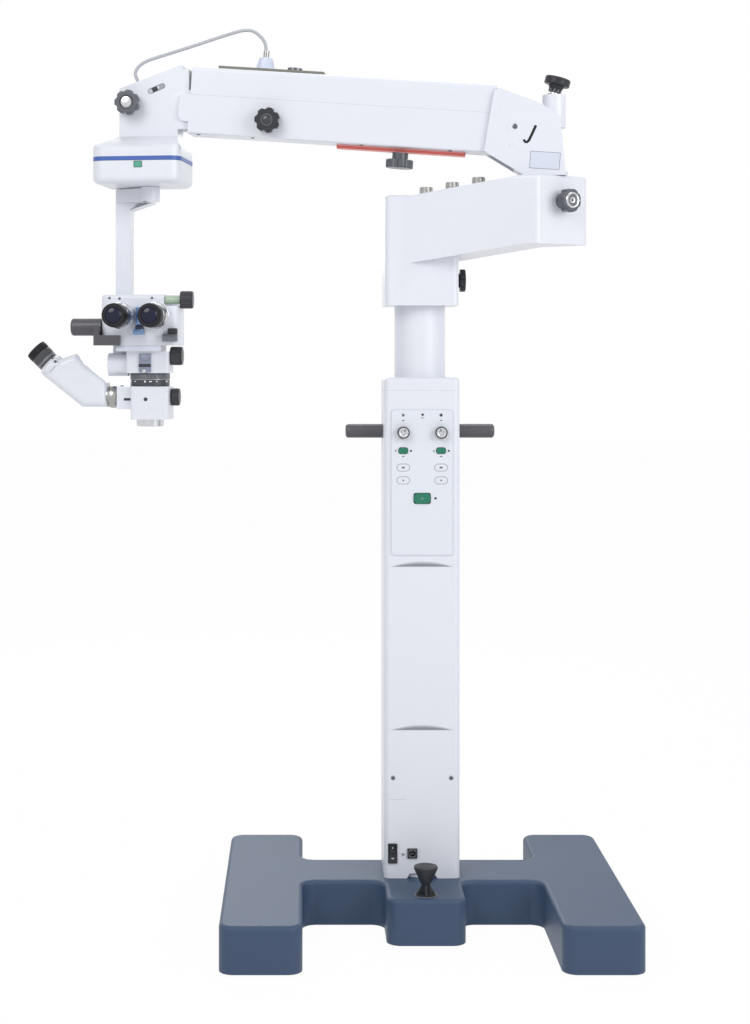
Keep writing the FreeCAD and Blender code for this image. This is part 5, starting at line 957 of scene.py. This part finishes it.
def dress_scope():
    """Everything on the microscope's body, from the eyepieces' head down to the objective."""
    face = on_face(SCOPE, 0, SCOPE_FRONT, 0)
    dress_front(face)
    dress_slider(face)
    dress_zoom()
    settle("body_hole", lathe([(0, 0.1), (3.2, 0.1), (3.6, 0.5), (4.0, 0.1), (4.0, -0.2)], SMALL),
           on_face(SCOPE, -3, -40, 56.5), "scope", LINE)
    box = on_face(SCOPE, -43.4, -28, 56)
    settle("splitter_slot", prism(pill(14, 5.2, 0.8), -0.2, 0.3), box, "scope", LINE)
    settle("splitter_ramp", prism([(-5.5, -9.5), (3.0, -9.5), (5.5, -3), (-5.5, -3)], -0.2, 0.25),
           box, "scope", COOL_WHITE)
    screw("splitter_screw", spot(SCOPE, -57, -12, 82.7), 3.4, "scope", DARK_STEEL, 2.0)
    ball = lathe([(20.8, 0.4), (22.6, 3), (23.6, 8), (23.8, 12), (23.2, 16), (21.6, 20),
                  (20.8, 21.6)], LARGE)
    settle("coupling_ball", ball, spot(ASSIST, turn="Y", angle=90), "scope", STEEL)
    for name, radius, low, high, teeth in KNOB_RIBS:
        settle(f"{name}_ribs", knurl(radius, low, high, teeth, 0.7), out_of(name), name, BLACK)
        cap = [(0, high + 2.9), (radius * 0.6, high + 2.9), (radius * 0.72, high + 2.4),
               (radius * 0.78, high + 1.2)]
        trim(f"{name}_cap", name, cap, GREY_METAL)
    paint("tilt_knob", GREEN_GREY, out_of("tilt_knob"), lambda p: p.z < 32.2)
    lens = lathe([(22.8, 4.6), (22.8, 3.2), (16, 1.8), (8, 1.1), (0, 0.9)], LARGE)
    settle("objective_glass", lens, SCOPE, "scope", LENS)
    settle("objective_ribs", knurl(27.8, 4, 12, 70, 0.4), SCOPE, "scope", BRIGHT)
    grip = spot(SCOPE, -93, -40, 205, "Y", -90)
    for number, start in enumerate(GRIP_RIBS):
        rib = lathe([(17.6, start), (18.0, start + 0.4), (18.0, start + 3.2), (17.6, start + 3.6)],
                    40)
        settle(f"grip_rib_{number}", rib, grip, "scope", RUBBER)


def dress_assistant():
    """Clamp, bands, cup and lens of the assistant's eyepiece, and the ring of its tube."""
    tip = spot(ASSIST, -116, 0, 60.9, "Y", -45)
    paint("assistant_eyepiece", BRIGHT, tip, lambda p: p.z < 13.8)
    collar = lathe([(20.4, -4), (26.6, -4), (27.2, -3.2), (27.2, 8.4), (26.4, 9.4), (20.4, 9.4)], LARGE)
    settle("clamp_collar", collar, tip, "assistant", WHITE)
    screw("clamp_screw", spot(tip, 14, -21.5, 2.6, "X", 90), 3.2, "assistant", DARK_STEEL, 4.4)
    parts = (
        ("band", lathe([(22.3, 18), (22.9, 18.4), (22.9, 22.4), (22.3, 22.8)]), GREY_METAL),
        ("ribs", knurl(22.3, 25, 36, 42, 0.5), BLACK),
        ("cup", lathe([(22.4, 38), (23.2, 39), (23.4, 46), (22.6, 53.4), (21.0, 54.5),
                       (17.4, 54.6), (15.5, 53), (15.1, 48)]), RUBBER),
        ("glass", lathe([(14.8, 47.2), (13.6, 49.2), (9.6, 50.9), (0, 52.0)]), LENS),
    )
    for name, built, look in parts:
        settle(f"assistant_{name}", built, tip, "assistant_eyepiece", look)
    outlet = spot(ASSIST, turn="Y", angle=-90)
    settle("assistant_ring", lathe([(19.0, 0.2), (21.4, 0.4), (21.4, 2.4), (19.0, 2.6)], LARGE),
           outlet, "assistant", STEEL)


# Cable: one smooth line through the route's points, bent between the arm and the knuckle, in metres

CABLE_ROUTE = [
    (-0.317677, -0.037131, 1.765664),
    (-0.315344, -0.037438, 1.795571),
    (-0.336782, -0.034616, 1.819878),
    (-0.354535, -0.032279, 1.825475),
    (-0.378241, -0.029158, 1.822481),
    (-0.485404, -0.015049, 1.789153),
    (-0.548888, -0.006692, 1.771292),
    (-0.573639, -0.003433, 1.762541),
    (-0.588559, -0.001469, 1.748103),
    (-0.590340, -0.001234, 1.732234),
    (-0.569281, -0.004007, 1.699526),
]
CABLE_RADIUS = 0.0035


def route_curve(name, radius):
    """The route as a curve, a bare line where the radius is 0."""
    data = bpy.data.curves.new(name, "CURVE")
    data.dimensions = "3D"
    spline = data.splines.new("NURBS")
    spline.points.add(len(CABLE_ROUTE) - 1)
    for point, place in zip(spline.points, CABLE_ROUTE):
        point.co = (*place, 1)
    spline.order_u = 3
    spline.use_endpoint_u = True
    spline.resolution_u = 12
    data.bevel_depth = radius
    data.bevel_resolution = 4
    data.use_fill_caps = True
    curve = bpy.data.objects.new(name, data)
    bpy.context.scene.collection.objects.link(curve)
    return curve


def mesh_from(curve):
    bpy.context.view_layer.update()
    graph = bpy.context.evaluated_depsgraph_get()
    return bpy.data.meshes.new_from_object(curve.evaluated_get(graph))


def make_cable():
    line = route_curve("cable_line", 0)
    path = [tuple(vertex.co) for vertex in mesh_from(line).vertices]
    bpy.data.objects.remove(line)
    tube = route_curve("cable_tube", CABLE_RADIUS)
    mesh = mesh_from(tube)
    bpy.data.objects.remove(tube)
    for polygon in mesh.polygons:
        polygon.use_smooth = True
    piece = bpy.data.objects.new("arm_cable", mesh)
    bpy.context.scene.collection.objects.link(piece)
    mesh.materials.clear()
    mesh.materials.append(CABLE_GREY)
    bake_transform(piece)
    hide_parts("cable")


SLEEVE_FROM, STEM_UPTO = 24.05, 19.9
OUTLET_FROM, OUTLET_UNDER = -65.2, 90


def dress_fittings():
    """Second finishes on faces of the solids: sleeve, bars, stem, pedal's top, splitter's rim."""
    paint("cable_boss", STEEL, BOSS, lambda p: p.z > SLEEVE_FROM)
    paint("arm_top_plate", DARK_STEEL, spot(ARM, z=ARM_TOP), lambda p: p.z > PLATE_THICK + 0.1)
    paint("balance_knob", BRIGHT, out_of("balance_knob"), lambda p: p.z < STEM_UPTO)
    paint("brake_pedal", PEDAL_GREY, PEDAL, lambda p: p.z > PEDAL_RISE - 1)
    paint("scope_body", BRIGHT, SCOPE, lambda p: p.x < OUTLET_FROM and p.z < OUTLET_UNDER)


make_camera()
make_world()
make_lamps()
make_floor()
dress_nodes()
dress_fittings()
dress_panel()
dress_dials()
dress_column()
dress_base()
dress_head()
dress_bracket()
dress_arm()
dress_knuckle()
dress_eyepieces()
dress_scope()
dress_assistant()
make_cable()

bpy.context.scene.view_settings.view_transform = "Standard"
